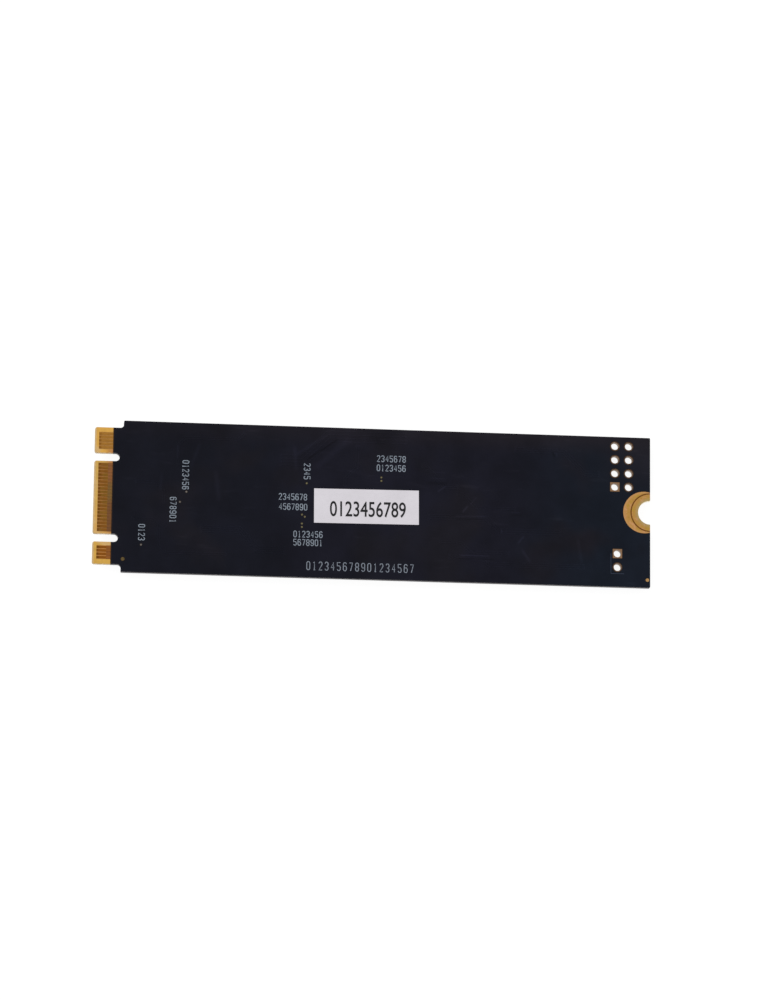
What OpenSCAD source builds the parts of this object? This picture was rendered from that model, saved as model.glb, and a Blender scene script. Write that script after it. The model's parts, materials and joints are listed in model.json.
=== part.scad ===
// Gumstick solid state drive: a narrow card with an edge connector at one end,
// a screw notch at the other, chips on its front and a bare, labelled back.
// Millimetres. +X runs from the connector to the screw notch, +Z up through the
// bare back. The drive lies on its chips, so z = 0 is the flash packages' face.

/* [Card] */
// Length of the card, from the connector's tip to the screw end
card_l = 80; // [78:0.5:110]
// Width of the card
card_w = 22; // [21.5:0.1:26]
// Finished thickness of the card, over both mask coats
card_t = 0.8; // [0.6:0.05:1.6]
// Radius of the card's outer corners
corner_r = 0.15; // [0.1:0.05:0.4]
// Thickness of each coat of solder mask
mask_t = 0.03; // [0.02:0.005:0.06]
// Thickness of the plated copper on each face
copper_t = 0.035; // [0.02:0.005:0.07]
// Thickness of the plating on the walls of the holes and the screw notch
plating_t = 0.03; // [0.02:0.005:0.06]
// Margin that the mask leaves open around copper
mask_gap = 0.05; // [0.02:0.01:0.1]
// Thickness of the printed ink
ink_t = 0.02; // [0.01:0.005:0.04]

/* [Edge connector] */
// Distance from the tip to the shoulders
tongue_l = 4.1; // [4:0.1:6]
// Radius in the corner between the tongue and each shoulder
shoulder_r = 0.5; // [0.2:0.1:0.8]
// Radius of the corners of the three tabs
tab_r = 0.3; // [0.1:0.05:0.4]
// Chamfer along both edges of the tip
tip_bevel = 0.2; // [0.1:0.05:0.25]
// Width of each shoulder, from the card's side to the tongue's
shoulder_w = 1.075; // [0.9:0.025:1.4]
// Distance from one contact place to the next, on the opposite face
pin_step = 0.25; // [0.2:0.01:0.26]
// Distance from the outermost contact place to the tongue's side, before rounding
tongue_side = 0.675; // [0.4:0.025:0.8]
// Contact place at the middle of the first key slot
key_b_pin = 15.5; // [14.5:1:17.5]
// Contact place at the middle of the second key slot
key_m_pin = 62.5; // [60.5:1:63.5]
// Contact places that each key slot takes
key_places = 8; // [8:2:10]
// Width of each key slot
key_w = 1.2; // [0.8:0.05:1.4]
// Depth of the key slots from the tip
key_d = 3.6; // [3:0.1:3.8]
// Width of a contact
contact_w = 0.35; // [0.25:0.01:0.4]
// Length of a contact
contact_l = 1.4; // [1:0.05:1.6]
// Distance from the tip to the contacts
contact_tip = 0.6; // [0.5:0.05:0.8]
// Width of the trace that runs from a contact to the mask
tail_w = 0.28; // [0.1:0.01:0.3]
// Distance from the tip to the edge of the mask
mask_edge = 2.6; // [2.5:0.05:3]

/* [Screw end] */
// Radius of the screw notch
notch_r = 1.75; // [1.5:0.05:2]
// Outer radius of the plated ring around the notch
ring_r = 2.7; // [2.4:0.05:2.75]
// Width of the bare line between the ring and the ground crescent
ring_gap = 0.13; // [0.05:0.01:0.15]
// Radius of the ground crescent's outer edge
crescent_r = 3.05; // [2.95:0.05:3.4]
// Distance from the screw end to the centre of that edge
crescent_in = 0.86; // [0.6:0.02:1.1]

/* [Plated holes] */
// Radius of the open bore of each plated hole
hole_r = 0.525; // [0.3:0.025:0.55]
// Width of the pad around each plated hole
hole_pad = 1.35; // [1.3:0.05:1.7]
// Distance between neighbouring header holes
header_pitch = 2; // [1.8:0.05:2.1]
// Distance from the screw end to the last column of header holes
header_in_x = 3.13; // [2.5:0.01:3.6]
// Distance from the card's side to the first row of header holes
header_in_y = 1.37; // [1:0.01:1.6]
// Distance from the screw end to the jumper holes
jumper_in_x = 4.75; // [4:0.05:5.2]
// Distance from the card's side to the nearer jumper hole
jumper_in_y = 2.85; // [1.5:0.05:3.5]
// Distance between the jumper holes
jumper_pitch = 2; // [1.8:0.05:2.1]

/* [Back face] */
// Unit in which the places of the small print and the test points are counted
place_unit = 1; // [0.9:0.01:1.1]
// Width of a test point
test_d = 0.26; // [0.2:0.02:0.4]
// Width of a fiducial dot
fiducial_d = 0.5; // [0.3:0.05:0.6]
// Distance from the screw end to the fiducial beside it
fiducial_in = 0.4; // [0.35:0.05:0.8]
// Distance from the tip to the middle of the label
label_in = 39; // [36:0.1:50]
// Distance from the card's middle line to the middle of the label
label_y = -0.45; // [-1.5:0.05:1.5]
// Length of the label
label_l = 15.05; // [12:0.05:20]
// Width of the label
label_w = 5; // [4:0.1:6]
// Thickness of the label
label_t = 0.08; // [0.05:0.01:0.15]
// Angle at which the label was stuck on
label_turn = 0.6; // [-2:0.1:2]
// Height of the label's print
label_print_h = 2.2; // [1.5:0.1:3]
// Distance between the label's printed figures
label_print_pitch = 1.09; // [0.9:0.01:1.15]
// Width of one printed figure's field
label_mark_w = 0.65; // [0.4:0.05:0.8]
// Height of the small print on the mask
small_print_h = 1; // [0.8:0.05:1.2]
// Height of the large print on the mask
large_print_h = 1.3; // [1:0.05:1.5]
// Length of the row of large print
large_print_l = 15.7; // [12:0.1:18]
// Width of the printed outline around the jumper
outline_line_w = 0.1; // [0.08:0.01:0.15]
// Room between that outline and the jumper's pads
outline_room = 0.3; // [0.15:0.05:0.4]

/* [Controller] */
// Side of the controller's package
controller_w = 9; // [7:0.25:9.75]
// Thickness of the controller's package
controller_t = 0.75; // [0.5:0.05:0.9]
// Height of the controller's solder balls
controller_ball_h = 0.2; // [0.15:0.01:0.25]
// Distance between the controller's solder balls
controller_pitch = 0.8; // [0.65:0.05:0.9]
// Least distance from a ball package's side to the middles of its outermost balls
ball_in = 0.75; // [0.5:0.05:1]
// Room between the shoulders and the controller
controller_in = 2.8; // [2.4:0.1:3.2]
// Distance from the card's middle line to the controller's middle
controller_y = -1.2; // [-1.6:0.1:-0.8]

/* [Flash packages] */
// Room between neighbouring flash packages, which share the length left to them
flash_gap = 0.77; // [0.4:0.01:2]
// Room between the flash packages and the card's sides
flash_side = 2; // [1.7:0.05:4]
// Thickness of a flash package
flash_t = 0.95; // [0.9:0.05:1.1]
// Height of the flash packages' solder balls
flash_ball_h = 0.25; // [0.25:0.01:0.3]
// Distance between the flash packages' solder balls
flash_pitch = 1; // [0.8:0.05:1.04]
// Room between the last flash package's place and the header's pads
header_room = 0.715; // [0.5:0.005:1.2]

/* [Support chips] */
// Side of the bevel around the upper rim of a moulded package
package_rim = 0.06; // [0.04:0.01:0.1]
// Width of the dimple beside a package's first pin
dimple_d = 0.7; // [0.4:0.05:0.9]
// Depth of that dimple
dimple_t = 0.04; // [0.02:0.01:0.08]
// Distance from the package's sides to the middle of the dimple
dimple_in = 0.8; // [0.6:0.05:1]
// Width of the printed dot beside a package's first pin
pin_dot_d = 0.3; // [0.2:0.05:0.4]
// Room between neighbouring parts
part_room = 0.6; // [0.4:0.05:0.7]
// Room between the card's shoulders and the parts nearest to them
edge_room = 1.3; // [0.8:0.1:1.5]
// Height of the parts' solder joints
solder_h = 0.05; // [0.03:0.01:0.1]
// Width of a package's soldering pad
pad_w = 0.3; // [0.2:0.02:0.36]
// Length of a package's soldering pad
pad_l = 0.5; // [0.4:0.05:0.6]
// Width of a bent lead
lead_w = 0.4; // [0.3:0.05:0.5]
// Thickness of a bent lead
lead_t = 0.12; // [0.1:0.01:0.15]
// Length of the configuration memory
config_l = 6; // [4:0.1:6.3]
// Width of the configuration memory
config_w = 5; // [4:0.1:5.4]
// Thickness of the configuration memory
config_t = 0.75; // [0.5:0.05:0.9]
// Distance between the configuration memory's pads
config_pitch = 1.27; // [1:0.01:1.3]
// Length of the crystal
crystal_l = 3.2; // [2:0.1:3.4]
// Width of the crystal
crystal_w = 2.5; // [1.6:0.1:3]
// Thickness of the crystal's ceramic base
crystal_base_t = 0.5; // [0.3:0.05:0.6]
// Thickness of the crystal's metal lid
crystal_lid_t = 0.25; // [0.15:0.05:0.35]
// Side of each regulator
regulator_w = 3; // [2.6:0.1:3.2]
// Thickness of each regulator
regulator_t = 0.8; // [0.5:0.05:0.9]
// Distance between a regulator's pads
regulator_pitch = 0.65; // [0.5:0.05:0.7]
// Length of a crystal's soldering pad
crystal_pad_l = 1; // [0.7:0.05:1.1]
// Width of a crystal's soldering pad
crystal_pad_w = 0.8; // [0.6:0.05:0.9]
// Width of the ceramic rim around the crystal's lid
crystal_rim = 0.15; // [0.1:0.05:0.3]
// Length of each inductor
inductor_l = 2.5; // [2:0.1:2.8]
// Width of each inductor
inductor_w = 2; // [1.6:0.1:2.2]
// Height of each inductor
inductor_h = 1; // [0.8:0.05:1.1]
// Length of the load switch's body
switch_l = 2.9; // [2.8:0.1:3.1]
// Width of the load switch's body
switch_w = 1.6; // [1.4:0.1:1.8]
// Thickness of the load switch's body
switch_t = 0.85; // [0.7:0.05:0.95]
// Distance between the load switch's leads
switch_pitch = 0.95; // [0.9:0.01:1.05]
// Reach of each lead of the load switch
switch_lead_l = 0.6; // [0.5:0.05:0.65]
// Length of the surge diode's body
diode_l = 1.7; // [1.5:0.1:1.9]
// Width of the surge diode's body
diode_w = 1.25; // [1.1:0.05:1.4]
// Thickness of the surge diode's body
diode_t = 0.75; // [0.6:0.05:0.9]
// Reach of each lead of the surge diode
diode_lead_l = 0.4; // [0.3:0.05:0.5]

/* [Chip parts] */
// Length of the input fuse
fuse_l = 3.2; // [2.4:0.1:3.4]
// Width of the input fuse
fuse_w = 1.6; // [1.2:0.1:2]
// Height of the input fuse
fuse_h = 0.6; // [0.5:0.05:0.9]
// Length of a bulk capacitor
bulk_l = 1.6; // [1.4:0.1:1.8]
// Width of a bulk capacitor
bulk_w = 0.8; // [0.6:0.05:1]
// Height of a bulk capacitor
bulk_h = 0.8; // [0.6:0.05:0.95]
// Room between a regulator and the bulk capacitors beside it
bulk_room = 0.35; // [0.25:0.05:0.5]
// Length of a small chip part
chip_l = 1; // [0.8:0.05:1.2]
// Width of a small chip part
chip_w = 0.5; // [0.4:0.05:0.6]
// Height of a small capacitor
chip_h = 0.5; // [0.3:0.05:0.6]
// Height of a resistor
resistor_h = 0.35; // [0.25:0.05:0.45]
// Share of a chip part's length that each of its ends takes
end_share = 0.25; // [0.15:0.01:0.3]
// Wall of the metal end of a chip part
end_wall = 0.03; // [0.02:0.005:0.05]
// Distance between neighbouring small chip parts in a row
chip_step = 0.9; // [0.85:0.05:1]
// Distance between the capacitors beside a flash package, double that beside the controller
bypass_step = 3.6; // [3:0.1:4]
// Room between a flash package and the capacitors beside it
bypass_room = 0.45; // [0.3:0.05:0.6]
// Reach of a soldering land past the part's end
land_reach = 0.15; // [0.1:0.01:0.2]

/* [Hidden] */
$fn = 64;
// Small overrun that lets a cutting shape pass a face
over = 0.5;

// Heights of the layers
front_z = flash_t + flash_ball_h;
back_z = front_z + card_t;
core_z0 = front_z + mask_t;
core_z1 = back_z - mask_t;
core_t = core_z1 - core_z0;
// Height of a land's face above the front mask
land_z = copper_t - mask_t;

// Places along the card
tip_x = -card_l / 2;
end_x = card_l / 2;
shoulder_x = tip_x + tongue_l;
mask_x = tip_x + mask_edge;
tongue_w = card_w - 2 * shoulder_w;
// Contact places over both faces: as many as the tongue has room for
pin_places = 1 + 2 * round((tongue_w / 2 - tongue_side) / pin_step);
key_pins = [key_b_pin, key_m_pin];

// Height across the card of a contact place
function pin_y(pin) = ((pin_places + 1) / 2 - pin) * pin_step;
// Whether a contact place is clear of both key slots
function pin_open(pin) =
    abs(pin - key_b_pin) > key_places / 2 && abs(pin - key_m_pin) > key_places / 2;

// Header holes, nearest row first, and the two jumper holes. The header has as
// many rows as there is room for beside the ring.
header_x = end_x - header_in_x;
header_y = card_w / 2 - header_in_y;
header_last_row = floor((header_y - ring_r - hole_pad / 2) / header_pitch);
header_places = [
    for (column = [0, 1])
        for (row = [0:header_last_row])
            [header_x - column * header_pitch, header_y - row * header_pitch]
];
// The first hole of each group has a square pad
header_square = [header_x - header_pitch, header_y - header_last_row * header_pitch];
jumper_square = [end_x - jumper_in_x, -card_w / 2 + jumper_in_y + jumper_pitch];
jumper_round = [end_x - jumper_in_x, -card_w / 2 + jumper_in_y];
round_places = [for (p = header_places) if (p != header_square) p];

// Middle of the label, and of the print on it
label_at = [tip_x + label_in, label_y];
label_print_at = place_unit * [0.2, -0.4];
label_figures = 10;
// End of the label that faces the connector
label_x0 = label_at.x - label_l / 2;

// A place on the back, counted in units from a place along the card
function place(from_x, p) = [from_x + place_unit * p.x, place_unit * p.y];

// Test points on the back, beside the print that names them
test_places = concat(
    [for (p = [[13.2, 0.9], [12.3, -0.6], [6.9, -7]]) place(tip_x, p)],
    [for (p = [[-1.1, 2.7], [-1.7, -1.9], [-1.3, -2.2], [-1.7, -3.2], [-1.7, -3.7]])
        place(label_x0, p)],
    [for (p = [[2.1, 3.9], [2.1, 3.4]]) place(label_at.x, p)]
);
// Fiducials beside the lower shoulder and the lower screw corner
fiducial_places = [
    [shoulder_x + 0.25 * place_unit, 1.85 * place_unit - card_w / 2],
    [end_x - fiducial_in, 1.1 * place_unit - card_w / 2]
];
// Fields of small print: middle, turn and length
print_fields = concat(
    [for (f = [[13.05, 3.35, -90, 4.4], [11.35, -1.8, -90, 3.9], [6.95, -5.2, -90, 2.5]])
        [place(tip_x, f), f[2], f[3] * place_unit]],
    [for (f = [[-1.05, 4.45, -90, 2.5], [-3.05, 0.65, 0, 4.2], [-3, -0.8, 0, 4.2],
               [-0.8, -4.75, 0, 4.3], [-0.8, -5.95, 0, 4.3]])
        [place(label_x0, f), f[2], f[3] * place_unit]],
    [for (f = [[3.5, 6.65, 0, 4.3], [3.5, 5.3, 0, 4.3]])
        [place(label_at.x, f), f[2], f[3] * place_unit]]
);
// The long row of larger print beside the card's lower side
large_field_at = [label_at.x - 0.8 * place_unit, 1.7 * place_unit - card_w / 2];

// Controller, and the power parts in a column beside it
controller_x = shoulder_x + controller_in + controller_w / 2;
power_room = regulator_w + 2 * (bulk_room + bulk_w + part_room);
power_x = controller_x + controller_w / 2 + power_room / 2;
power_step = (regulator_w + inductor_w) / 2 + part_room;
inductor_places = [for (i = [2.5, 0.5, -1.5]) [power_x, i * power_step, 0]];
regulator_places = [for (i = [1.5, -0.5, -2.5]) [power_x, i * power_step, 0]];
bulk_places = [
    for (p = regulator_places)
        for (side = [-1, 1])
            [p.x + side * (regulator_w / 2 + bulk_room + bulk_w / 2), p.y, 90]
];

// Flash packages share what lies between the power parts and the header, and
// the card's width
flash_count = 4;
flash_x0 = power_x + power_room / 2;
flash_x1 = header_x - header_pitch - hole_pad / 2 - header_room;
flash_cell = (flash_x1 - flash_x0) / flash_count;
function flash_x(i) = flash_x0 + (i + 0.5) * flash_cell;
flash_l = flash_cell - flash_gap;
flash_w = card_w - 2 * flash_side;
// Each ball field is two banks of columns on either side of an empty middle, as
// many as the package has room for, less its four corner balls
flash_bank_in = 1.5;
flash_last_column = floor((flash_l / 2 - ball_in) / flash_pitch - flash_bank_in);
flash_last_row = floor((flash_w / 2 - ball_in) / flash_pitch);
// Radius of a flattened solder ball, as a share of its height
ball_spread = 0.9;
flash_ball_places = [
    for (side = [-1, 1])
        for (c = [0:flash_last_column])
            for (r = [-flash_last_row:flash_last_row])
                if (c < flash_last_column || abs(r) < flash_last_row)
                    [side * (c + flash_bank_in) * flash_pitch, r * flash_pitch]
];
controller_balls_n = 1 + floor((controller_w - 2 * ball_in) / controller_pitch);
controller_ball_places = [
    for (c = [0:controller_balls_n - 1])
        for (r = [0:controller_balls_n - 1])
            [(c - (controller_balls_n - 1) / 2) * controller_pitch,
             (r - (controller_balls_n - 1) / 2) * controller_pitch]
];

// Configuration memory and crystal, in the band above the controller
crystal_x = shoulder_x + edge_room + crystal_l / 2;
crystal_y = controller_y + controller_w / 2 + 2 * part_room + config_w / 2;
config_x = crystal_x + crystal_l / 2 + part_room + config_l / 2;
config_y = crystal_y;

// Fuse, surge diode and load switch, in the band below the controller
lower_y = controller_y - controller_w / 2 - 2 * part_room - switch_w / 2 - switch_lead_l;
fuse_x = shoulder_x + edge_room + fuse_l / 2;
diode_x = fuse_x + fuse_l / 2 + part_room + diode_lead_l + diode_l / 2;
switch_x = diode_x + diode_l / 2 + diode_lead_l + part_room + switch_l / 2;

// Small chip parts: [x, y, turn]
lane_x = shoulder_x + controller_in / 2;
lane_places = [for (i = [0:3]) [lane_x, controller_y + 0.3 - i * chip_step, 0]];
resistor_places = [for (i = [1:4]) [lane_x, controller_y + 0.3 + i * chip_step, 0]];
bypass_y = flash_w / 2 + bypass_room + chip_w / 2;
flash_bypass_places = [
    for (i = [0:flash_count - 1])
        for (side = [-1, 1])
            for (k = [-1:1])
                [flash_x(i) + k * bypass_step, side * bypass_y, 0]
];
controller_bypass_places = [
    for (side = [-1, 1])
        for (k = [-1.5:1:1.5])
            [controller_x + k * bypass_step / 2,
             controller_y + side * (controller_w / 2 + part_room), 0]
];
bypass_places = concat(flash_bypass_places, controller_bypass_places);

// Sizes of the chip parts: [length, width, height]
fuse_size = [fuse_l, fuse_w, fuse_h];
bulk_size = [bulk_l, bulk_w, bulk_h];
inductor_size = [inductor_l, inductor_w, inductor_h];
capacitor_size = [chip_l, chip_w, chip_h];
resistor_size = [chip_l, chip_w, resistor_h];

// Middles of the pads and leads of the packages
config_pads = [
    for (side = [-1, 1])
        for (k = [-1.5:1:1.5])
            [side * (config_l / 2 - pad_l / 2 + land_reach), k * config_pitch]
];
regulator_pad_rows = [-1.5:1:1.5];
regulator_pad_in = regulator_w / 2 - pad_l / 2 + land_reach;
crystal_pad_places = [
    for (sx = [-1, 1])
        for (sy = [-1, 1])
            [sx * (crystal_l - crystal_pad_l) / 2, sy * (crystal_w - crystal_pad_w) / 2]
];
switch_leads = [[-1, -1], [0, -1], [1, -1], [-1, 1], [1, 1]];
// Share of a bent lead's reach that lies flat on its land
foot_share = 0.6;

// The sliver between a square corner at the origin and an arc that is tangent
// to its sides, in the quadrant that the two signs name
module corner_sliver(r, sx, sy, past = 0) {
    scale([sx, sy])
        difference() {
            translate([-past, -past])
                square(r + past);
            translate([r, r])
                circle(r);
        }
}

// Slot for a socket key, open at the tip
module key_slot(pin) {
    translate([tip_x - over, pin_y(pin) - key_w / 2])
        square([key_d - key_w / 2 + over, key_w]);
    translate([tip_x + key_d - key_w / 2, pin_y(pin)])
        circle(key_w / 2);
}

// Round corners at the mouth of a key slot
module key_mouth(pin) {
    for (side = [-1, 1])
        translate([tip_x, pin_y(pin) + side * key_w / 2])
            corner_sliver(tab_r, 1, side, over);
}

// Outline of the card, with the screw notch cut to a given radius
module card_outline(cut_r) {
    difference() {
        union() {
            translate([shoulder_x, -card_w / 2])
                square([card_l - tongue_l, card_w]);
            translate([tip_x, -tongue_w / 2])
                square([card_l / 2, tongue_w]);
            for (side = [-1, 1])
                translate([shoulder_x, side * tongue_w / 2])
                    corner_sliver(shoulder_r, -1, side);
        }
        for (side = [-1, 1]) {
            translate([shoulder_x, side * card_w / 2])
                corner_sliver(corner_r, 1, -side, over);
            translate([end_x, side * card_w / 2])
                corner_sliver(corner_r, -1, -side, over);
            translate([tip_x, side * tongue_w / 2])
                corner_sliver(tab_r, 1, -side, over);
        }
        for (pin = key_pins) {
            key_slot(pin);
            key_mouth(pin);
        }
        translate([end_x, 0])
            circle(cut_r);
    }
}

// Pad of a plated hole, round or square, grown by a margin
module hole_pad_shape(at, is_square, grow = 0) {
    translate(at)
        if (is_square)
            square(hole_pad + 2 * grow, center = true);
        else
            circle(hole_pad / 2 + grow);
}

// Every pad of a plated hole, grown by a margin
module all_hole_pads(grow) {
    for (p = round_places)
        hole_pad_shape(p, false, grow);
    hole_pad_shape(jumper_round, false, grow);
    hole_pad_shape(header_square, true, grow);
    hole_pad_shape(jumper_square, true, grow);
}

// Area around the screw notch that the mask leaves open
module notch_area(grow) {
    translate([end_x - crescent_in, 0])
        circle(crescent_r + grow);
    translate([end_x, 0])
        circle(ring_r + grow);
}

// Mask of either face, before its own openings
module mask_field() {
    difference() {
        intersection() {
            card_outline(notch_r + plating_t);
            translate([mask_x, -card_w / 2 - over])
                square([card_l, card_w + 2 * over]);
        }
        notch_area(mask_gap);
        all_hole_pads(mask_gap);
    }
}

// Glass and resin core of the card, with its key slots, holes and bevelled tip
module board_laminate() {
    color([0.76, 0.58, 0.28])
        difference() {
            translate([0, 0, core_z0])
                linear_extrude(core_t)
                    card_outline(notch_r + plating_t);
            for (p = concat(header_places, [jumper_square, jumper_round]))
                translate([p.x, p.y, core_z0 - over])
                    cylinder(r = hole_r + plating_t, h = core_t + 2 * over);
            for (z = [core_z0, core_z1])
                translate([tip_x, 0, z])
                    rotate([0, 45, 0])
                        cube([tip_bevel * sqrt(2), card_w, tip_bevel * sqrt(2)], center = true);
        }
}

module solder_mask_back() {
    color([0.07, 0.08, 0.12])
        translate([0, 0, core_z1])
            linear_extrude(mask_t)
                difference() {
                    mask_field();
                    for (p = test_places)
                        translate(p)
                            circle(d = test_d + 2 * mask_gap);
                    for (p = fiducial_places)
                        translate(p)
                            circle(d = fiducial_d + 2 * mask_gap);
                }
}

module solder_mask_front() {
    color([0.07, 0.08, 0.12])
        translate([0, 0, front_z])
            linear_extrude(mask_t)
                difference() {
                    mask_field();
                    land_shapes(mask_gap);
                }
}

// One contact: the pad, and the trace that runs from it to the mask
module contact(pin) {
    translate([tip_x + contact_tip, pin_y(pin) - contact_w / 2])
        square([contact_l, contact_w]);
    translate([tip_x + contact_tip, pin_y(pin) - tail_w / 2])
        square([mask_edge - contact_tip, tail_w]);
}

// Contacts of one face: the odd places are on the front, the even ones on the back
module edge_contacts(first) {
    for (pin = [first:2:pin_places])
        if (pin_open(pin))
            linear_extrude(copper_t)
                contact(pin);
}

module edge_contacts_back() {
    color([0.62, 0.42, 0.16])
        translate([0, 0, core_z1])
            edge_contacts(2);
}

module edge_contacts_front() {
    color([0.62, 0.42, 0.16])
        translate([0, 0, core_z0 - copper_t])
            edge_contacts(1);
}

// Plated ring around the screw notch: a face on each side of the card, joined
// by the plating of the notch's wall
module mount_ring() {
    color([0.72, 0.54, 0.27])
        intersection() {
            translate([end_x, 0, 0])
                difference() {
                    union() {
                        for (z = [core_z0 - copper_t, core_z1])
                            translate([0, 0, z])
                                cylinder(r = ring_r, h = copper_t);
                        translate([0, 0, core_z0 - copper_t])
                            cylinder(r = notch_r + plating_t, h = core_t + 2 * copper_t);
                    }
                    translate([0, 0, core_z0 - over])
                        cylinder(r = notch_r, h = core_t + 2 * over);
                }
            translate([end_x - card_w, -card_w / 2, 0])
                cube([card_w, card_w, back_z + over]);
        }
}

// Copper crescent beside the ring, divided from it by a bare line
module ground_crescent() {
    linear_extrude(copper_t)
        difference() {
            translate([end_x - crescent_in, 0])
                circle(crescent_r);
            translate([end_x, 0])
                circle(ring_r + ring_gap);
            translate([end_x, -card_w / 2])
                square([card_w, card_w]);
        }
}

module ground_crescent_back() {
    color([0.72, 0.54, 0.27])
        translate([0, 0, core_z1])
            ground_crescent();
}

module ground_crescent_front() {
    color([0.72, 0.54, 0.27])
        translate([0, 0, core_z0 - copper_t])
            ground_crescent();
}

// Plated hole: a pad on each face, joined by a sleeve through the core
module hole_sleeve(at, is_square) {
    difference() {
        union() {
            for (z = [core_z0 - copper_t, core_z1])
                translate([0, 0, z])
                    linear_extrude(copper_t)
                        hole_pad_shape(at, is_square);
            translate([at.x, at.y, core_z0 - copper_t])
                cylinder(r = hole_r + plating_t, h = core_t + 2 * copper_t);
        }
        translate([at.x, at.y, core_z0 - over])
            cylinder(r = hole_r, h = core_t + 2 * over);
    }
}

module header_sleeves() {
    color([0.78, 0.66, 0.48]) {
        for (p = round_places)
            hole_sleeve(p, false);
        hole_sleeve(header_square, true);
    }
}

module jumper_sleeves() {
    color([0.78, 0.66, 0.48]) {
        hole_sleeve(jumper_round, false);
        hole_sleeve(jumper_square, true);
    }
}

module test_points() {
    color([0.66, 0.58, 0.46])
        for (p = test_places)
            translate([p.x, p.y, core_z1])
                cylinder(d = test_d, h = copper_t);
}

module fiducials() {
    color([0.72, 0.54, 0.27])
        for (p = fiducial_places)
            translate([p.x, p.y, core_z1])
                cylinder(d = fiducial_d, h = copper_t);
}

// Small print as plain fields, each as long and high as a row of figures
module legend_back() {
    color([0.55, 0.57, 0.6])
        translate([0, 0, back_z])
            linear_extrude(ink_t) {
                for (f = print_fields)
                    translate(f[0])
                        rotate(f[1])
                            square([f[2], small_print_h], center = true);
                translate(large_field_at)
                    square([large_print_l, large_print_h], center = true);
                jumper_outline();
            }
}

// Two printed lines in the corner beside the jumper holes
module jumper_outline() {
    reach = hole_pad / 2 + outline_room;
    translate(jumper_round - [reach, reach]) {
        square([2 * reach, outline_line_w]);
        square([outline_line_w, jumper_pitch + reach]);
    }
}

// Dots on the front that mark the first pin of the large packages
module legend_front() {
    color([0.55, 0.57, 0.6])
        translate([0, 0, front_z - ink_t])
            linear_extrude(ink_t) {
                for (i = [0:flash_count - 1])
                    translate([flash_x(i) - flash_l / 2, flash_w / 2 + pin_dot_d])
                        circle(d = pin_dot_d);
                translate([controller_x - controller_w / 2 - pin_dot_d, controller_y + controller_w / 2])
                    circle(d = pin_dot_d);
            }
}

// Adhesive label on the back
module serial_label() {
    color([0.84, 0.83, 0.86])
        translate([label_at.x, label_at.y, back_z])
            rotate(label_turn)
                translate([-label_l / 2, -label_w / 2, 0])
                    cube([label_l, label_w, label_t]);
}

// Row of plain upright marks in place of figures
module label_print() {
    color([0.08, 0.08, 0.09])
        translate([label_at.x, label_at.y, back_z + label_t])
            rotate(label_turn)
                translate([label_print_at.x, label_print_at.y, 0])
                    for (i = [0:label_figures - 1])
                        translate([(i - (label_figures - 1) / 2) * label_print_pitch, 0, ink_t / 2])
                            cube([label_mark_w, label_print_h, ink_t], center = true);
}

// Places what follows on the front face, chips pointing away from the card
module on_front(at) {
    translate([at.x, at.y, front_z])
        mirror([0, 0, 1])
            rotate(len(at) > 2 ? at[2] : 0)
                children();
}

// Block centred on the origin in plan, standing on a height
module block(size, z = 0) {
    translate([-size.x / 2, -size.y / 2, z])
        cube(size);
}

// Moulded package with a bevelled upper rim
module package_body(size, z) {
    difference() {
        block(size, z);
        for (side = [-1, 1]) {
            translate([side * size.x / 2, 0, z + size.z])
                rotate([0, 45, 0])
                    cube([package_rim, size.y + over, package_rim], center = true);
            translate([0, side * size.y / 2, z + size.z])
                rotate([45, 0, 0])
                    cube([size.x + over, package_rim, package_rim], center = true);
        }
    }
}

// Moulded package with a round dimple beside its first pin
module marked_package(size, z) {
    difference() {
        package_body(size, z);
        translate([dimple_in - size.x / 2, size.y / 2 - dimple_in, z + size.z - dimple_t])
            cylinder(d = dimple_d, h = dimple_t + over);
    }
}

// Solder ball, flattened between the card and a package
module solder_ball(h) {
    translate([0, 0, h / 2])
        intersection() {
            sphere(h * ball_spread);
            cube([2 * h, 2 * h, h], center = true);
        }
}

module flash_package(i) {
    color([0.13, 0.13, 0.14])
        on_front([flash_x(i), 0])
            marked_package([flash_l, flash_w, flash_t], flash_ball_h);
}

module flash_balls(i) {
    color([0.75, 0.76, 0.78])
        on_front([flash_x(i), 0])
            for (p = flash_ball_places)
                translate(p)
                    solder_ball(flash_ball_h);
}

module controller_package() {
    color([0.12, 0.12, 0.13])
        on_front([controller_x, controller_y])
            marked_package([controller_w, controller_w, controller_t], controller_ball_h);
}

module controller_balls() {
    color([0.75, 0.76, 0.78])
        on_front([controller_x, controller_y])
            for (p = controller_ball_places)
                translate(p)
                    solder_ball(controller_ball_h);
}

module config_memory_body() {
    color([0.13, 0.13, 0.14])
        on_front([config_x, config_y])
            marked_package([config_l, config_w, config_t], land_z + solder_h);
}

module config_memory_pads() {
    color([0.78, 0.78, 0.8])
        on_front([config_x, config_y])
            for (p = config_pads)
                translate(p)
                    block([pad_l, pad_w, solder_h], land_z);
}

module crystal_base() {
    color([0.25, 0.22, 0.2])
        on_front([crystal_x, crystal_y])
            block([crystal_l, crystal_w, crystal_base_t], land_z + solder_h);
}

module crystal_pads() {
    color([0.78, 0.78, 0.8])
        on_front([crystal_x, crystal_y])
            for (p = crystal_pad_places)
                translate(p)
                    block([crystal_pad_l, crystal_pad_w, solder_h], land_z);
}

module crystal_lid() {
    color([0.8, 0.78, 0.72])
        on_front([crystal_x, crystal_y])
            block([crystal_l - 2 * crystal_rim, crystal_w - 2 * crystal_rim, crystal_lid_t],
                  land_z + solder_h + crystal_base_t);
}

module regulator(i) {
    color([0.13, 0.13, 0.14])
        on_front(regulator_places[i])
            marked_package([regulator_w, regulator_w, regulator_t], land_z + solder_h);
}

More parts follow.
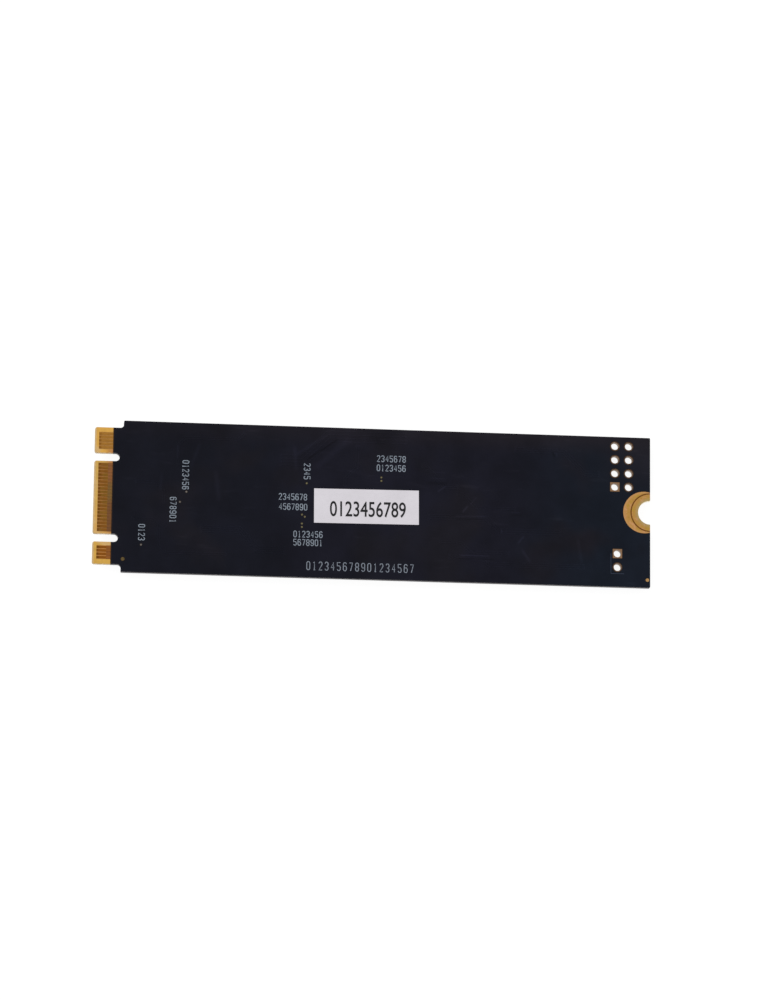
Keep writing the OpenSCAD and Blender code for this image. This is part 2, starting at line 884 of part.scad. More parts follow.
// Pads along the four sides of a regulator
module regulator_pad_ring(shape_w, shape_l) {
    for (turn = [0:90:270])
        rotate(turn)
            for (k = regulator_pad_rows)
                translate([regulator_pad_in, k * regulator_pitch])
                    square([shape_l, shape_w], center = true);
}

module regulator_pads() {
    color([0.78, 0.78, 0.8])
        for (p = regulator_places)
            on_front(p)
                translate([0, 0, land_z])
                    linear_extrude(solder_h)
                        regulator_pad_ring(pad_w, pad_l);
}

// Body of a chip part, a little smaller than its metal ends
module chip_body(size) {
    block(size - 2 * end_wall * [1, 1, 1], land_z + end_wall);
}

// The two metal ends of a chip part, each a cup over the body's end
module chip_ends(size) {
    end_l = size.x * end_share;
    for (side = [-1, 1])
        difference() {
            translate([side * (size.x - end_l) / 2, 0])
                block([end_l, size.y, size.z], land_z);
            chip_body(size);
        }
}

module inductor_bodies() {
    color([0.3, 0.29, 0.28])
        for (p = inductor_places)
            on_front(p)
                chip_body(inductor_size);
}

module inductor_ends() {
    color([0.78, 0.78, 0.8])
        for (p = inductor_places)
            on_front(p)
                chip_ends(inductor_size);
}

module bulk_capacitor_bodies() {
    color([0.55, 0.44, 0.33])
        for (p = bulk_places)
            on_front(p)
                chip_body(bulk_size);
}

module bulk_capacitor_ends() {
    color([0.78, 0.78, 0.8])
        for (p = bulk_places)
            on_front(p)
                chip_ends(bulk_size);
}

module bypass_capacitor_bodies() {
    color([0.6, 0.48, 0.36])
        for (p = bypass_places)
            on_front(p)
                chip_body(capacitor_size);
}

module bypass_capacitor_ends() {
    color([0.78, 0.78, 0.8])
        for (p = bypass_places)
            on_front(p)
                chip_ends(capacitor_size);
}

module lane_capacitor_bodies() {
    color([0.6, 0.48, 0.36])
        for (p = lane_places)
            on_front(p)
                chip_body(capacitor_size);
}

module lane_capacitor_ends() {
    color([0.78, 0.78, 0.8])
        for (p = lane_places)
            on_front(p)
                chip_ends(capacitor_size);
}

module resistor_bodies() {
    color([0.1, 0.1, 0.1])
        for (p = resistor_places)
            on_front(p)
                chip_body(resistor_size);
}

module resistor_ends() {
    color([0.78, 0.78, 0.8])
        for (p = resistor_places)
            on_front(p)
                chip_ends(resistor_size);
}

module input_fuse_body() {
    color([0.8, 0.8, 0.76])
        on_front([fuse_x, lower_y])
            chip_body(fuse_size);
}

module input_fuse_ends() {
    color([0.78, 0.78, 0.8])
        on_front([fuse_x, lower_y])
            chip_ends(fuse_size);
}

// Lead that leaves a body at the origin towards +X
module bent_lead(reach, rise) {
    top = rise + lead_t;
    foot = reach * foot_share;
    translate([0, lead_w / 2, land_z])
        rotate([90, 0, 0])
            linear_extrude(lead_w)
                polygon([
                    [0, rise], [reach - foot - lead_t, rise], [reach - foot - lead_t, 0],
                    [reach, 0], [reach, lead_t], [reach - foot, lead_t],
                    [reach - foot, top], [0, top]
                ]);
}

module load_switch_body() {
    color([0.13, 0.13, 0.14])
        on_front([switch_x, lower_y])
            package_body([switch_l, switch_w, switch_t], land_z + solder_h);
}

module load_switch_leads() {
    color([0.78, 0.78, 0.8])
        on_front([switch_x, lower_y])
            for (lead = switch_leads)
                translate([lead.x * switch_pitch, lead.y * switch_w / 2, 0])
                    rotate(lead.y * 90)
                        bent_lead(switch_lead_l, switch_t / 2);
}

module surge_diode_body() {
    color([0.13, 0.13, 0.14])
        on_front([diode_x, lower_y])
            package_body([diode_l, diode_w, diode_t], land_z + solder_h);
}

module surge_diode_leads() {
    color([0.78, 0.78, 0.8])
        on_front([diode_x, lower_y])
            for (turn = [0, 180])
                rotate(turn)
                    translate([diode_l / 2, 0, 0])
                        bent_lead(diode_lead_l, diode_t / 3);
}

// Plan of one land, grown by a margin
module land(at, size, grow) {
    translate(at)
        square([size.x + 2 * grow, size.y + 2 * grow], center = true);
}

// The two lands of a chip part
module chip_lands(at, size, grow) {
    end_l = size.x * end_share;
    translate([at.x, at.y])
        rotate(at[2])
            for (side = [-1, 1])
                land([side * (size.x - end_l + land_reach) / 2, 0],
                     [end_l + land_reach, size.y + 2 * end_wall], grow);
}

// Land under the foot of a bent lead that leaves the origin towards +X
module foot_land(reach, grow) {
    foot = reach * foot_share;
    land([reach - foot / 2, 0], [foot, lead_w], grow);
}

// Plan of every land on the front, grown by a margin
module land_shapes(grow) {
    for (p = bypass_places)
        chip_lands(p, capacitor_size, grow);
    for (p = lane_places)
        chip_lands(p, capacitor_size, grow);
    for (p = resistor_places)
        chip_lands(p, resistor_size, grow);
    for (p = bulk_places)
        chip_lands(p, bulk_size, grow);
    for (p = inductor_places)
        chip_lands(p, inductor_size, grow);
    chip_lands([fuse_x, lower_y, 0], fuse_size, grow);
    for (p = config_pads)
        land([config_x + p.x, config_y + p.y], [pad_l, pad_w], grow);
    for (p = crystal_pad_places)
        land([crystal_x + p.x, crystal_y + p.y], [crystal_pad_l, crystal_pad_w], grow);
    for (p = regulator_places)
        translate([p.x, p.y])
            regulator_pad_ring(pad_w + 2 * grow, pad_l + 2 * grow);
    for (lead = switch_leads)
        translate([switch_x + lead.x * switch_pitch, lower_y + lead.y * switch_w / 2])
            rotate(lead.y * 90)
                foot_land(switch_lead_l, grow);
    for (side = [0, 180])
        translate([diode_x, lower_y])
            rotate(side)
                translate([diode_l / 2, 0])
                    foot_land(diode_lead_l, grow);
}

module component_lands() {
    color([0.74, 0.72, 0.66])
        translate([0, 0, core_z0 - copper_t])
            linear_extrude(copper_t)
                land_shapes(0);
}

board_laminate();
solder_mask_back();
solder_mask_front();
edge_contacts_back();
edge_contacts_front();
mount_ring();
ground_crescent_back();
ground_crescent_front();
header_sleeves();
jumper_sleeves();
test_points();
fiducials();
component_lands();
legend_back();
legend_front();
serial_label();
label_print();
controller_package();
controller_balls();
flash_package(0);  // flash_package_1
flash_package(1);  // flash_package_2
flash_package(2);  // flash_package_3
flash_package(3);  // flash_package_4
flash_balls(0);  // flash_balls_1
flash_balls(1);  // flash_balls_2
flash_balls(2);  // flash_balls_3
flash_balls(3);  // flash_balls_4
config_memory_body();
config_memory_pads();
crystal_base();
crystal_pads();
crystal_lid();
regulator(0);  // core_regulator
regulator(1);  // memory_regulator
regulator(2);  // interface_regulator
regulator_pads();
inductor_bodies();
inductor_ends();
load_switch_body();
load_switch_leads();
surge_diode_body();
surge_diode_leads();
input_fuse_body();
input_fuse_ends();
bulk_capacitor_bodies();
bulk_capacitor_ends();
bypass_capacitor_bodies();
bypass_capacitor_ends();
lane_capacitor_bodies();
lane_capacitor_ends();
resistor_bodies();
resistor_ends();
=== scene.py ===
"""Looks of a gumstick solid state drive: finishes, print, solder and fine relief."""
import json
import math

import bmesh
import bpy
from mathutils import Matrix, Vector

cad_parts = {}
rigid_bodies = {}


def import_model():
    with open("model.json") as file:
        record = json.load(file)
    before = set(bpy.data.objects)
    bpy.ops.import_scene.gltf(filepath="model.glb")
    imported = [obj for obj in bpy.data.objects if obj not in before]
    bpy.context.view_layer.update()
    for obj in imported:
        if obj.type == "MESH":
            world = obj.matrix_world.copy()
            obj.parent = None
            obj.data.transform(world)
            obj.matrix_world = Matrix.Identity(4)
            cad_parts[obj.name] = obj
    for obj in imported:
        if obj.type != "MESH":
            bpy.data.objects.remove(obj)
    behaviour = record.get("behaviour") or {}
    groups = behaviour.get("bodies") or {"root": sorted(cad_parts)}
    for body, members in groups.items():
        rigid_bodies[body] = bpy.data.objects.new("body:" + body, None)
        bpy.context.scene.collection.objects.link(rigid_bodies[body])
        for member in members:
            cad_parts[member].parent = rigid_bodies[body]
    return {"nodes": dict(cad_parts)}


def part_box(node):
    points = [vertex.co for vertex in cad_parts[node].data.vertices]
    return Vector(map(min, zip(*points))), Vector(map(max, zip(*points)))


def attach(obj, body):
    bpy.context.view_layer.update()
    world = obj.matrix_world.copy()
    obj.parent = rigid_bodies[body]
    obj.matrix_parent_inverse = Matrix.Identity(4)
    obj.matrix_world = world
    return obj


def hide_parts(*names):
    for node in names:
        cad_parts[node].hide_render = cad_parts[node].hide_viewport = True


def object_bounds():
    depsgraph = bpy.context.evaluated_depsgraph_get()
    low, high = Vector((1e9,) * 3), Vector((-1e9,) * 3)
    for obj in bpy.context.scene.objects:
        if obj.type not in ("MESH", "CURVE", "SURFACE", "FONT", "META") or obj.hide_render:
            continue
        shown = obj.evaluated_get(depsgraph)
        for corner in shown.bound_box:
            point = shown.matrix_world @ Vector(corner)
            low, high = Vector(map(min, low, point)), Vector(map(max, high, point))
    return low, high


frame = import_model()
cad_low, cad_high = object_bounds()

MM = 0.001

# Points this near are one point, and places this near are in line
MERGED_WITHIN = 0.0001 * MM
ALIGNED_WITHIN = 0.001 * MM

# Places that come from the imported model, in millimetres
TIP_X = cad_low.x / MM
END_X = cad_high.x / MM
BACK_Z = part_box("solder_mask_back")[1].z / MM
FRONT_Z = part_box("solder_mask_front")[0].z / MM
MASK_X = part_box("solder_mask_back")[0].x / MM
RING_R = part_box("mount_ring")[1].y / MM
CRESCENT_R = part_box("ground_crescent_back")[1].y / MM
CRESCENT_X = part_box("ground_crescent_back")[0].x / MM + CRESCENT_R
PADS_START_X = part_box("edge_contacts_back")[0].x / MM

# Sizes that go with them: gap between the ring and the crescent, length and half the pitch of
# the contacts, and depth of a package's dimple
SEAM_W = 0.13
PAD_L = 1.4
PADS_END_X = PADS_START_X + PAD_L
HALF_PITCH = 0.25
DIMPLE_DEPTH = 0.04

# Camera of the photograph: its place, its turn in degrees about X, Y and Z, and its lens
CAMERA_PLACE = (-60.84, -138.05, 642.5)
CAMERA_TURN = (-12.0963, 5.7175, -0.648)
CAMERA_LENS = 165.6
CAMERA_SENSOR = 36

# Light, as the share of a surface's own colour that each source brings out, and the places and
# sizes of the two lamps in metres
WORLD_SHARE = 0.66
KEY_SHARE = 0.34
KEY_PLACE = (-0.55, 0.45, 0.75)
KEY_SIZE = 0.7
UNDER_SHARE = 0.5
UNDER_PLACE = (0.15, -0.2, -0.8)
UNDER_SIZE = 0.6

# Floor: its size in metres, how far it lies below the card in millimetres, its colour as light
# falls on it, and the glow that lifts it to white for the camera
FLOOR_SIZE = 6
FLOOR_DROP = 0.02
FLOOR_COLOUR = (0.13, 0.13, 0.13, 1)
FLOOR_LIFT = 0.93

# Colour of every material where only its plain colour is shown
PLAIN_GREY = (0.5, 0.5, 0.5, 1)


def srgb(red, green, blue):
    """A colour as it shows on a screen, 0 to 255, in the form that a shader takes."""
    def linear(value):
        share = value / 255
        return share / 12.92 if share <= 0.04045 else ((share + 0.055) / 1.055) ** 2.4
    return (linear(red), linear(green), linear(blue), 1)


# Places across the card that part its three tabs, and how softly their colours meet. The first
# tab's contacts and laminate are of nearly one colour, and the last tab's contacts are redder.
FIRST_TAB_Y = 5.5
FIRST_TAB_GOLD = srgb(142, 99, 42)
# The first tab's strips are painted lighter than its contacts, to offset the shade in the gaps between
# them
FIRST_TAB_STRIPS = srgb(170, 122, 62)
LAST_TAB_Y = -5.5
LAST_TAB_GOLD = srgb(122, 72, 22)
LAST_TAB_STRIPS = srgb(184, 126, 66)
TAB_BLEND = 0.1


class Nodes:
    """The nodes of a material, or of the world."""

    def __init__(self, owner):
        owner.use_nodes = True
        self.tree = owner.node_tree

    def add(self, kind, inputs=(), **settings):
        """A new node with its settings, its inputs fed with numbers or other nodes' outputs."""
        node = self.tree.nodes.new("ShaderNode" + kind)
        for name, value in settings.items():
            setattr(node, name, value)
        for key, value in dict(inputs).items():
            self.feed(node.inputs[key], value)
        return node

    def feed(self, socket, value):
        if isinstance(value, bpy.types.NodeSocket):
            self.tree.links.new(value, socket)
        else:
            socket.default_value = value

    def maths(self, operation, first, second=0.0):
        return self.add("Math", {0: first, 1: second}, operation=operation).outputs[0]

    def times(self, first, second):
        return self.maths("MULTIPLY", first, second)

    def rays(self):
        """1 for rays from the camera, in a mirror or through glass, then 1 for shadow rays."""
        path = self.add("LightPath").outputs
        seen = self.maths("MAXIMUM", path["Is Camera Ray"], path["Is Glossy Ray"])
        seen = self.maths("MAXIMUM", seen, path["Is Transmission Ray"])
        return seen, path["Is Shadow Ray"]


class Finish(Nodes):
    """A material in the making. Its patterns are laid out in millimetres on the part."""

    def __init__(self, name, roughness=0.5, metal=0.0, gloss=0.5):
        self.material = bpy.data.materials.new(name)
        self.material.diffuse_color = PLAIN_GREY
        super().__init__(self.material)
        self.shader = self.tree.nodes["Principled BSDF"]
        self.shader.inputs["Roughness"].default_value = roughness
        self.shader.inputs["Metallic"].default_value = metal
        self.shader.inputs["Specular IOR Level"].default_value = gloss
        source = self.add("TexCoord")
        self.place = self.add(
            "VectorMath", {"Vector": source.outputs["Object"], "Scale": 1 / MM}, operation="SCALE"
        ).outputs["Vector"]
        split = self.add("SeparateXYZ", {"Vector": self.place})
        self.x, self.y, self.z = split.outputs
        facing = self.add("SeparateXYZ", {"Vector": source.outputs["Normal"]})
        self.flatness = self.maths("ABSOLUTE", facing.outputs["Z"])

    def step(self, value, low, high):
        """Goes smoothly from 0 at one value to 1 at another, whichever of them is the larger."""
        sockets = {"Value": value, "From Min": min(low, high), "From Max": max(low, high)}
        if low > high:
            sockets.update({"To Min": 1.0, "To Max": 0.0})
        return self.add("MapRange", sockets, interpolation_type="SMOOTHSTEP").outputs[0]

    def between(self, value, low, high, soft):
        """1 between two values, 0 past them, with soft ends."""
        rise = self.step(value, low - soft, low + soft)
        fall = self.step(value, high + soft, high - soft)
        return self.times(rise, fall)

    def on_first_tab(self):
        return self.step(self.y, FIRST_TAB_Y - TAB_BLEND, FIRST_TAB_Y + TAB_BLEND)

    def on_last_tab(self):
        return self.step(self.y, LAST_TAB_Y + TAB_BLEND, LAST_TAB_Y - TAB_BLEND)

    def radius_from(self, centre_x):
        """Distance from a place on the card's middle line, such as the notch's centre."""
        along = self.maths("SUBTRACT", self.x, centre_x)
        squares = self.maths("ADD", self.maths("POWER", along, 2.0), self.maths("POWER", self.y, 2.0))
        return self.maths("SQRT", squares)

    def noise(self, per_mm, detail=2.0, stretch=(1, 1, 1), turn=0.0, offset=(0, 0, 0)):
        """A cloudy pattern. Stretch gives its scale along each axis, before the turn."""
        placed = self.add(
            "Mapping",
            {"Vector": self.place, "Location": offset, "Scale": stretch,
             "Rotation": (0, 0, math.radians(turn))},
        ).outputs[0]
        sockets = {"Vector": placed, "Scale": per_mm, "Detail": detail}
        return self.add("TexNoise", sockets).outputs["Fac"]

    def mix(self, factor, first, second, blend="MIX"):
        """Blends two colours, which the node takes at sockets 6 and 7 and gives out at 2."""
        node = self.add("Mix", data_type="RGBA", blend_type=blend)
        self.feed(node.inputs[0], factor)
        self.feed(node.inputs[6], first)
        self.feed(node.inputs[7], second)
        return node.outputs[2]

    def tint(self, colour, factor):
        """The colour times another, or times a number."""
        return self.mix(1.0, colour, factor, "MULTIPLY")

    def spread(self, value, low, high):
        """A pattern's value, which lies mostly between 0.3 and 0.7, run out between two numbers."""
        sockets = {"Value": value, "From Min": 0.3, "From Max": 0.7, "To Min": low, "To Max": high}
        return self.add("MapRange", sockets).outputs[0]

    def shade(self, colour, value, low, high):
        """The colour times a pattern that is run out between two numbers."""
        return self.tint(colour, self.spread(value, low, high))

    def by_facing(self, sides, faces):
        """One colour on the card's upright sides, another on what lies flat."""
        return self.mix(self.step(self.flatness, 0.4, 0.6), sides, faces)

    def reach(self, way):
        """How far each place lies along a direction."""
        return self.add("VectorMath", {0: self.place, 1: way}, operation="DOT_PRODUCT").outputs["Value"]

    def marks(self, marks):
        """1, and more or less than 1 along each of some straight soft marks."""
        total = 1.0
        for start, end, half, amount in marks:
            start, end = Vector((*start, 0)), Vector((*end, 0))
            way = (end - start).normalized()
            aside = Vector((-way.y, way.x, 0))
            middle = start.dot(aside)
            lengthwise = self.between(self.reach(way), start.dot(way) - half, end.dot(way) + half, half)
            crosswise = self.between(self.reach(aside), middle - half / 2, middle + half / 2, half / 2)
            total = self.maths("ADD", total, self.times(self.times(lengthwise, crosswise), amount))
        return total

    def done(self, colour, roughness=None, relief=None, depth=0.002):
        """Feeds the shader. The relief's depth is in millimetres."""
        self.feed(self.shader.inputs["Base Color"], colour)
        if roughness is not None:
            self.feed(self.shader.inputs["Roughness"], roughness)
        if relief is not None:
            bump = self.add("Bump", {"Height": relief, "Strength": 1.0, "Distance": depth * MM})
            self.feed(self.shader.inputs["Normal"], bump.outputs[0])
        return self.material


# Faint marks on the back: both ends, half the width, and how much brighter (or darker) the coat is
MARKS = [
    ((-28.15, 7.6), (-28.15, 5.9), 0.1, 0.8),
    ((-22.6, 3.4), (-22.2, 0.5), 0.6, 0.4),
    ((-30.4, 3.1), (-30.5, 1.4), 0.35, 0.35),
    ((-25.1, 7.7), (-26.1, 4.9), 0.4, 0.35),
    ((-11.4, 7.5), (-11.2, 5.2), 0.5, 0.4),
    ((-10.8, 7.1), (-7.4, 9.5), 0.4, 0.35),
    ((-9.3, 6.4), (-5.5, 9.1), 0.25, -0.35),
    ((-7.8, 5.6), (-4.4, 8.6), 0.8, 0.35),
    ((8.6, 4.95), (10.2, 4.88), 0.1, 0.4),
    ((8.4, 4.05), (10.1, 4.0), 0.1, 0.35),
    ((8.1, 3.3), (10.1, 3.3), 0.4, -0.25),
    ((9.4, 2.2), (10.2, 2.8), 0.2, 0.6),
    ((13.0, -0.6), (13.4, -0.1), 0.25, 0.8),
    ((12.0, -1.42), (16.0, -1.35), 0.13, 0.6),
    ((12.0, -1.85), (15.7, -1.8), 0.12, -0.3),
    ((14.1, 0.5), (14.7, 1.3), 0.2, 0.4),
    ((12.7, -7.1), (16.5, -7.1), 0.2, 0.5),
    ((12.2, -7.62), (17.3, -7.62), 0.14, -0.3),
    ((18.5, -3.35), (18.5, -3.45), 0.2, 0.8),
    ((20.0, -0.6), (21.1, -0.6), 0.12, 0.5),
    ((20.0, -1.0), (21.3, -1.0), 0.12, -0.3),
    ((21.5, -4.3), (21.0, -4.9), 0.25, 0.6),
    ((21.7, -6.4), (22.5, -7.6), 0.35, 0.45),
    ((25.9, 8.2), (26.0, 8.0), 0.25, -0.4),
    ((26.4, 8.3), (26.4, 7.9), 0.1, 0.5),
    ((29.6, -4.6), (30.0, -7.2), 0.4, 0.3),
]


def solder_mask(name, lift=1.0):
    """Satin navy-black coat: cloudy, wiped, with painted light along its upper side, paler towards the
    screw-end corner, cooler by the screw.
    """
    finish = Finish(name, gloss=0.05)
    left = srgb(17, 18, 27)
    middle = srgb(21, 21, 31)
    right = srgb(19, 24, 34)
    paler_tone = srgb(31, 28, 34)
    faded = srgb(22, 21, 28)
    thin_edge = srgb(50, 36, 26)
    tinted = finish.mix(finish.step(finish.x, -17, -7), left, middle)
    tinted = finish.mix(finish.step(finish.x, 17, 34), tinted, right)
    corner = finish.times(finish.step(finish.x, 30, 39), finish.step(finish.y, 1, 8))
    # Painted light: the coat is painted paler along its upper long side, where the light falls
    lit_upper_side = finish.times(finish.step(finish.x, -70, 30), finish.step(finish.y, 7.5, 11))
    tinted = finish.mix(finish.times(corner, 0.6), tinted, paler_tone)
    tinted = finish.mix(finish.times(lit_upper_side, 0.85), tinted, paler_tone)
    drift = finish.noise(0.1, detail=2, offset=(3, 1, 0))
    plain = finish.mix(finish.step(drift, 0.52, 0.7), tinted, faded)
    clouds = finish.noise(0.22, detail=3)
    coloured = finish.shade(plain, clouds, 0.78 * lift, 1.22 * lift)
    streaks = finish.noise(1.1, detail=4, stretch=(0.2, 1, 1), turn=38)
    wiped = finish.tint(coloured, (1.45, 1.42, 1.35, 1))
    coloured = finish.mix(finish.step(streaks, 0.6, 0.78), coloured, wiped)
    marked = finish.tint(coloured, finish.marks(MARKS))
    grain = finish.noise(7, detail=2)
    thinned = finish.mix(finish.step(finish.x, MASK_X + 0.22, MASK_X), marked, thin_edge)
    speckled = finish.shade(thinned, grain, 0.92, 1.08)
    rough = finish.spread(finish.noise(0.3, detail=4, stretch=(0.4, 1, 1), turn=-25), 0.4, 0.56)
    relief = finish.noise(3.2, detail=3)
    return finish.done(speckled, rough, relief, 0.003)


def laminate():
    """Glass and resin: golden where bare, browner round the contacts, with painted shade on the card's
    sides past the tongue.
    """
    finish = Finish("laminate", roughness=0.5, gloss=0.08)
    yellow = srgb(203, 163, 86)
    orange = srgb(212, 162, 84)
    first_tab_gold = srgb(212, 162, 76)
    last_tab_gold = srgb(208, 163, 76)
    pale = srgb(206, 168, 108)
    bevelled = srgb(204, 172, 122)
    singed = srgb(172, 108, 58)
    between_pads = srgb(160, 110, 58)
    past_pads = srgb(148, 102, 48)
    shaded_side = srgb(72, 68, 70)
    tongue_side = srgb(224, 192, 132)
    under_mask = srgb(62, 44, 26)
    seam_shade = srgb(114, 70, 22)
    yarns_along = finish.noise(2.2, detail=1, stretch=(0.35, 1, 1))
    yarns_across = finish.noise(2.2, detail=1, stretch=(1, 0.35, 1))
    weave = finish.times(finish.maths("ADD", yarns_along, yarns_across), 0.5)
    drift = finish.noise(0.35, detail=2)
    golden = finish.mix(finish.step(finish.y, 0, -5), yellow, orange)
    golden = finish.mix(finish.on_first_tab(), golden, first_tab_gold)
    golden = finish.mix(finish.on_last_tab(), golden, last_tab_gold)
    golden = finish.mix(finish.step(drift, 0.52, 0.66), golden, pale)
    golden = finish.mix(finish.step(finish.x, TIP_X + 0.32, TIP_X + 0.1), golden, bevelled)
    by_mask = finish.step(finish.x, MASK_X - 1.5, MASK_X)
    browned = finish.times(by_mask, finish.between(finish.y, LAST_TAB_Y, 7.1, 0.7))
    golden = finish.mix(finish.times(browned, 0.8), golden, singed)
    bare = finish.shade(golden, weave, 0.9, 1.1)
    blocks = 0.0
    for low, high in contact_blocks():
        inside = finish.between(finish.y, low, high, 0.06)
        blocks = finish.maths("MAXIMUM", inside, blocks)
    beside = finish.step(finish.x, PADS_START_X - 0.05, PADS_START_X + 0.03)
    inner_half = finish.step(finish.x, PADS_START_X + 0.55, PADS_START_X + 1.1)
    behind = finish.step(finish.x, PADS_END_X - 0.08, PADS_END_X + 0.04)
    strips = finish.mix(inner_half, between_pads, past_pads)
    strips = finish.mix(finish.on_first_tab(), strips, FIRST_TAB_STRIPS)
    strips = finish.mix(finish.on_last_tab(), strips, LAST_TAB_STRIPS)
    block = finish.mix(behind, strips, behind_contacts(finish, FIRST_TAB_STRIPS, 1.12))
    tongue = finish.mix(finish.times(beside, blocks), bare, finish.shade(block, weave, 0.93, 1.07))
    covered = finish.mix(finish.step(finish.x, MASK_X - 0.02, MASK_X + 0.08), tongue, under_mask)
    # Painted shade: the laminate seen down the gap between ring and crescent is painted dark
    faces = finish.mix(finish.step(finish.radius_from(END_X), 3.0, 2.9), covered, seam_shade)
    # Painted shade: the card's sides past the tongue are painted dark
    sides = finish.mix(finish.step(finish.x, MASK_X - 0.05, MASK_X + 0.1), tongue_side, shaded_side)
    coloured = finish.by_facing(sides, faces)
    return finish.done(coloured, finish.spread(weave, 0.42, 0.6), weave, 0.004)


def behind_contacts(finish, first_colour, lift):
    """Browned strip between the contacts and the mask: redder above, olive, then dark below."""
    red = srgb(126, 82, 48)
    olive = srgb(112, 84, 46)
    dark = srgb(108, 72, 44)
    last_tab = srgb(130, 80, 38)
    spots = finish.noise(1.3, detail=3)
    strip = finish.mix(finish.step(finish.y, 2.6, 1.2), red, olive)
    strip = finish.mix(finish.step(finish.y, -0.2, -1.4), strip, dark)
    strip = finish.mix(finish.on_last_tab(), strip, last_tab)
    # Painted light: lift paints the laminate's copy lighter and the contacts' copy darker, to offset the
    # shade between the contacts
    shaded = finish.shade(strip, spots, 0.92 * lift, 1.08 * lift)
    return finish.mix(finish.on_first_tab(), shaded, first_colour)


def contact_blocks():
    """Lowest and highest place across the card of each group of contacts on the back.
    Contacts that stand more than a millimetre apart lie on different tabs."""
    middles = sorted((low.y + high.y) / 2 / MM for low, high in solids_of("edge_contacts_back"))
    blocks = [[middles[0], middles[0]]]
    for middle in middles[1:]:
        if middle - blocks[-1][1] > 1:
            blocks.append([middle, middle])
        blocks[-1][1] = middle
    return [(low - HALF_PITCH, high + HALF_PITCH) for low, high in blocks]


def contact_gold():
    """Thin gold, bronzed and rubbed along the card where the socket's springs slid."""
    finish = Finish("contact_gold", roughness=0.36, metal=1.0)
    bronze = srgb(116, 74, 28)
    olive = srgb(114, 80, 30)
    tip = srgb(100, 62, 18)
    first_tip = srgb(122, 80, 30)
    rubs = finish.noise(9, detail=3, stretch=(0.12, 1, 1))
    clouds = finish.noise(0.8, detail=2)
    rubbed = finish.mix(finish.step(clouds, 0.42, 0.6), bronze, olive)
    first_tab = finish.on_first_tab()
    rubbed = finish.mix(first_tab, rubbed, FIRST_TAB_GOLD)
    rubbed = finish.mix(finish.on_last_tab(), rubbed, LAST_TAB_GOLD)
    worn_to = finish.spread(finish.noise(1.7, detail=1), PADS_START_X + 0.1, PADS_START_X + 0.5)
    dark_end = finish.step(finish.maths("SUBTRACT", worn_to, finish.x), -0.2, 0.2)
    plain = finish.mix(dark_end, rubbed, finish.mix(first_tab, tip, first_tip))
    pads = finish.shade(plain, rubs, 0.88, 1.14)
    behind = finish.step(finish.x, PADS_END_X - 0.08, PADS_END_X + 0.04)
    coloured = finish.mix(behind, pads, behind_contacts(finish, FIRST_TAB_GOLD, 0.96))
    return finish.done(coloured, finish.spread(rubs, 0.28, 0.46), rubs, 0.0015)


def ring_gold():
    """Matt gold plating, mottled, with turned scratches under the screw's head and a painted grey
    reflection round the notch. Its walls are pale.
    """
    finish = Finish("ring_gold", roughness=0.42, metal=1.0)
    gold = srgb(170, 128, 66)
    rosy = srgb(184, 136, 92)
    notch_reflection = srgb(158, 142, 98)
    yellow = srgb(168, 132, 58)
    dull = srgb(124, 86, 40)
    wall = srgb(216, 202, 172)
    seam_shadow = srgb(96, 58, 18)
    radius = finish.radius_from(END_X)
    rings = {"X": finish.times(radius, 22.0), "Y": finish.noise(0.4, detail=1)}
    turned = finish.add("CombineXYZ", rings).outputs[0]
    scratches = finish.add("TexNoise", {"Vector": turned, "Scale": 1.0, "Detail": 3.0}).outputs["Fac"]
    seam = finish.between(radius, RING_R - 0.03, RING_R + SEAM_W + 0.03, 0.04)
    mottle = finish.noise(1.5, detail=3)
    tinted = finish.mix(finish.step(mottle, 0.5, 0.66), gold, rosy)
    tinted = finish.mix(finish.step(mottle, 0.48, 0.34), tinted, yellow)
    spots = finish.step(finish.noise(3.4, detail=4), 0.62, 0.72)
    faces = finish.mix(finish.times(spots, 0.5), finish.shade(tinted, scratches, 0.93, 1.06), dull)
    # Painted shade darkens the ring's faces along the gap between ring and crescent
    faces = finish.mix(seam, faces, seam_shadow)
    # Painted reflection: a grey band on the ring's faces round the notch
    faces = finish.mix(finish.times(finish.step(radius, 2.35, 1.85), 0.65), faces, notch_reflection)
    rim = finish.step(finish.radius_from(CRESCENT_X), CRESCENT_R - 0.4, CRESCENT_R - 0.1)
    faces = finish.mix(finish.times(rim, 0.6), faces, rosy)
    coloured = finish.by_facing(wall, faces)
    return finish.done(coloured, finish.spread(scratches, 0.36, 0.5), scratches, 0.0015)


def hole_plating():
    """Pale plating on the square pads, tarnished on the round ones and on the walls."""
    finish = Finish("hole_plating", roughness=0.4, metal=1.0)
    pale = srgb(96, 76, 60)
    brown = srgb(74, 54, 40)
    square = srgb(128, 100, 76)
    wall = srgb(122, 100, 78)
    clouds = finish.noise(1.6, detail=3)
    pad = finish.mix(finish.step(clouds, 0.4, 0.62), pale, brown)
    for low, high in square_pads():
        within_x = finish.between(finish.x, low.x, high.x, 0.05)
        within_y = finish.between(finish.y, low.y, high.y, 0.05)
        pad = finish.mix(finish.times(within_x, within_y), pad, square)
    coloured = finish.by_facing(wall, pad)
    return finish.done(coloured, finish.spread(clouds, 0.34, 0.5), finish.noise(8, detail=2), 0.002)


def square_pads():
    """Corners in millimetres of the two square pads, the ones that mark the first holes."""
    header = min(solids_of("header_sleeves"), key=lambda box: (round(box[0].x, 5), box[0].y))
    jumper = max(solids_of("jumper_sleeves"), key=lambda box: box[0].y)
    return [(low / MM, high / MM) for low, high in (header, jumper)]


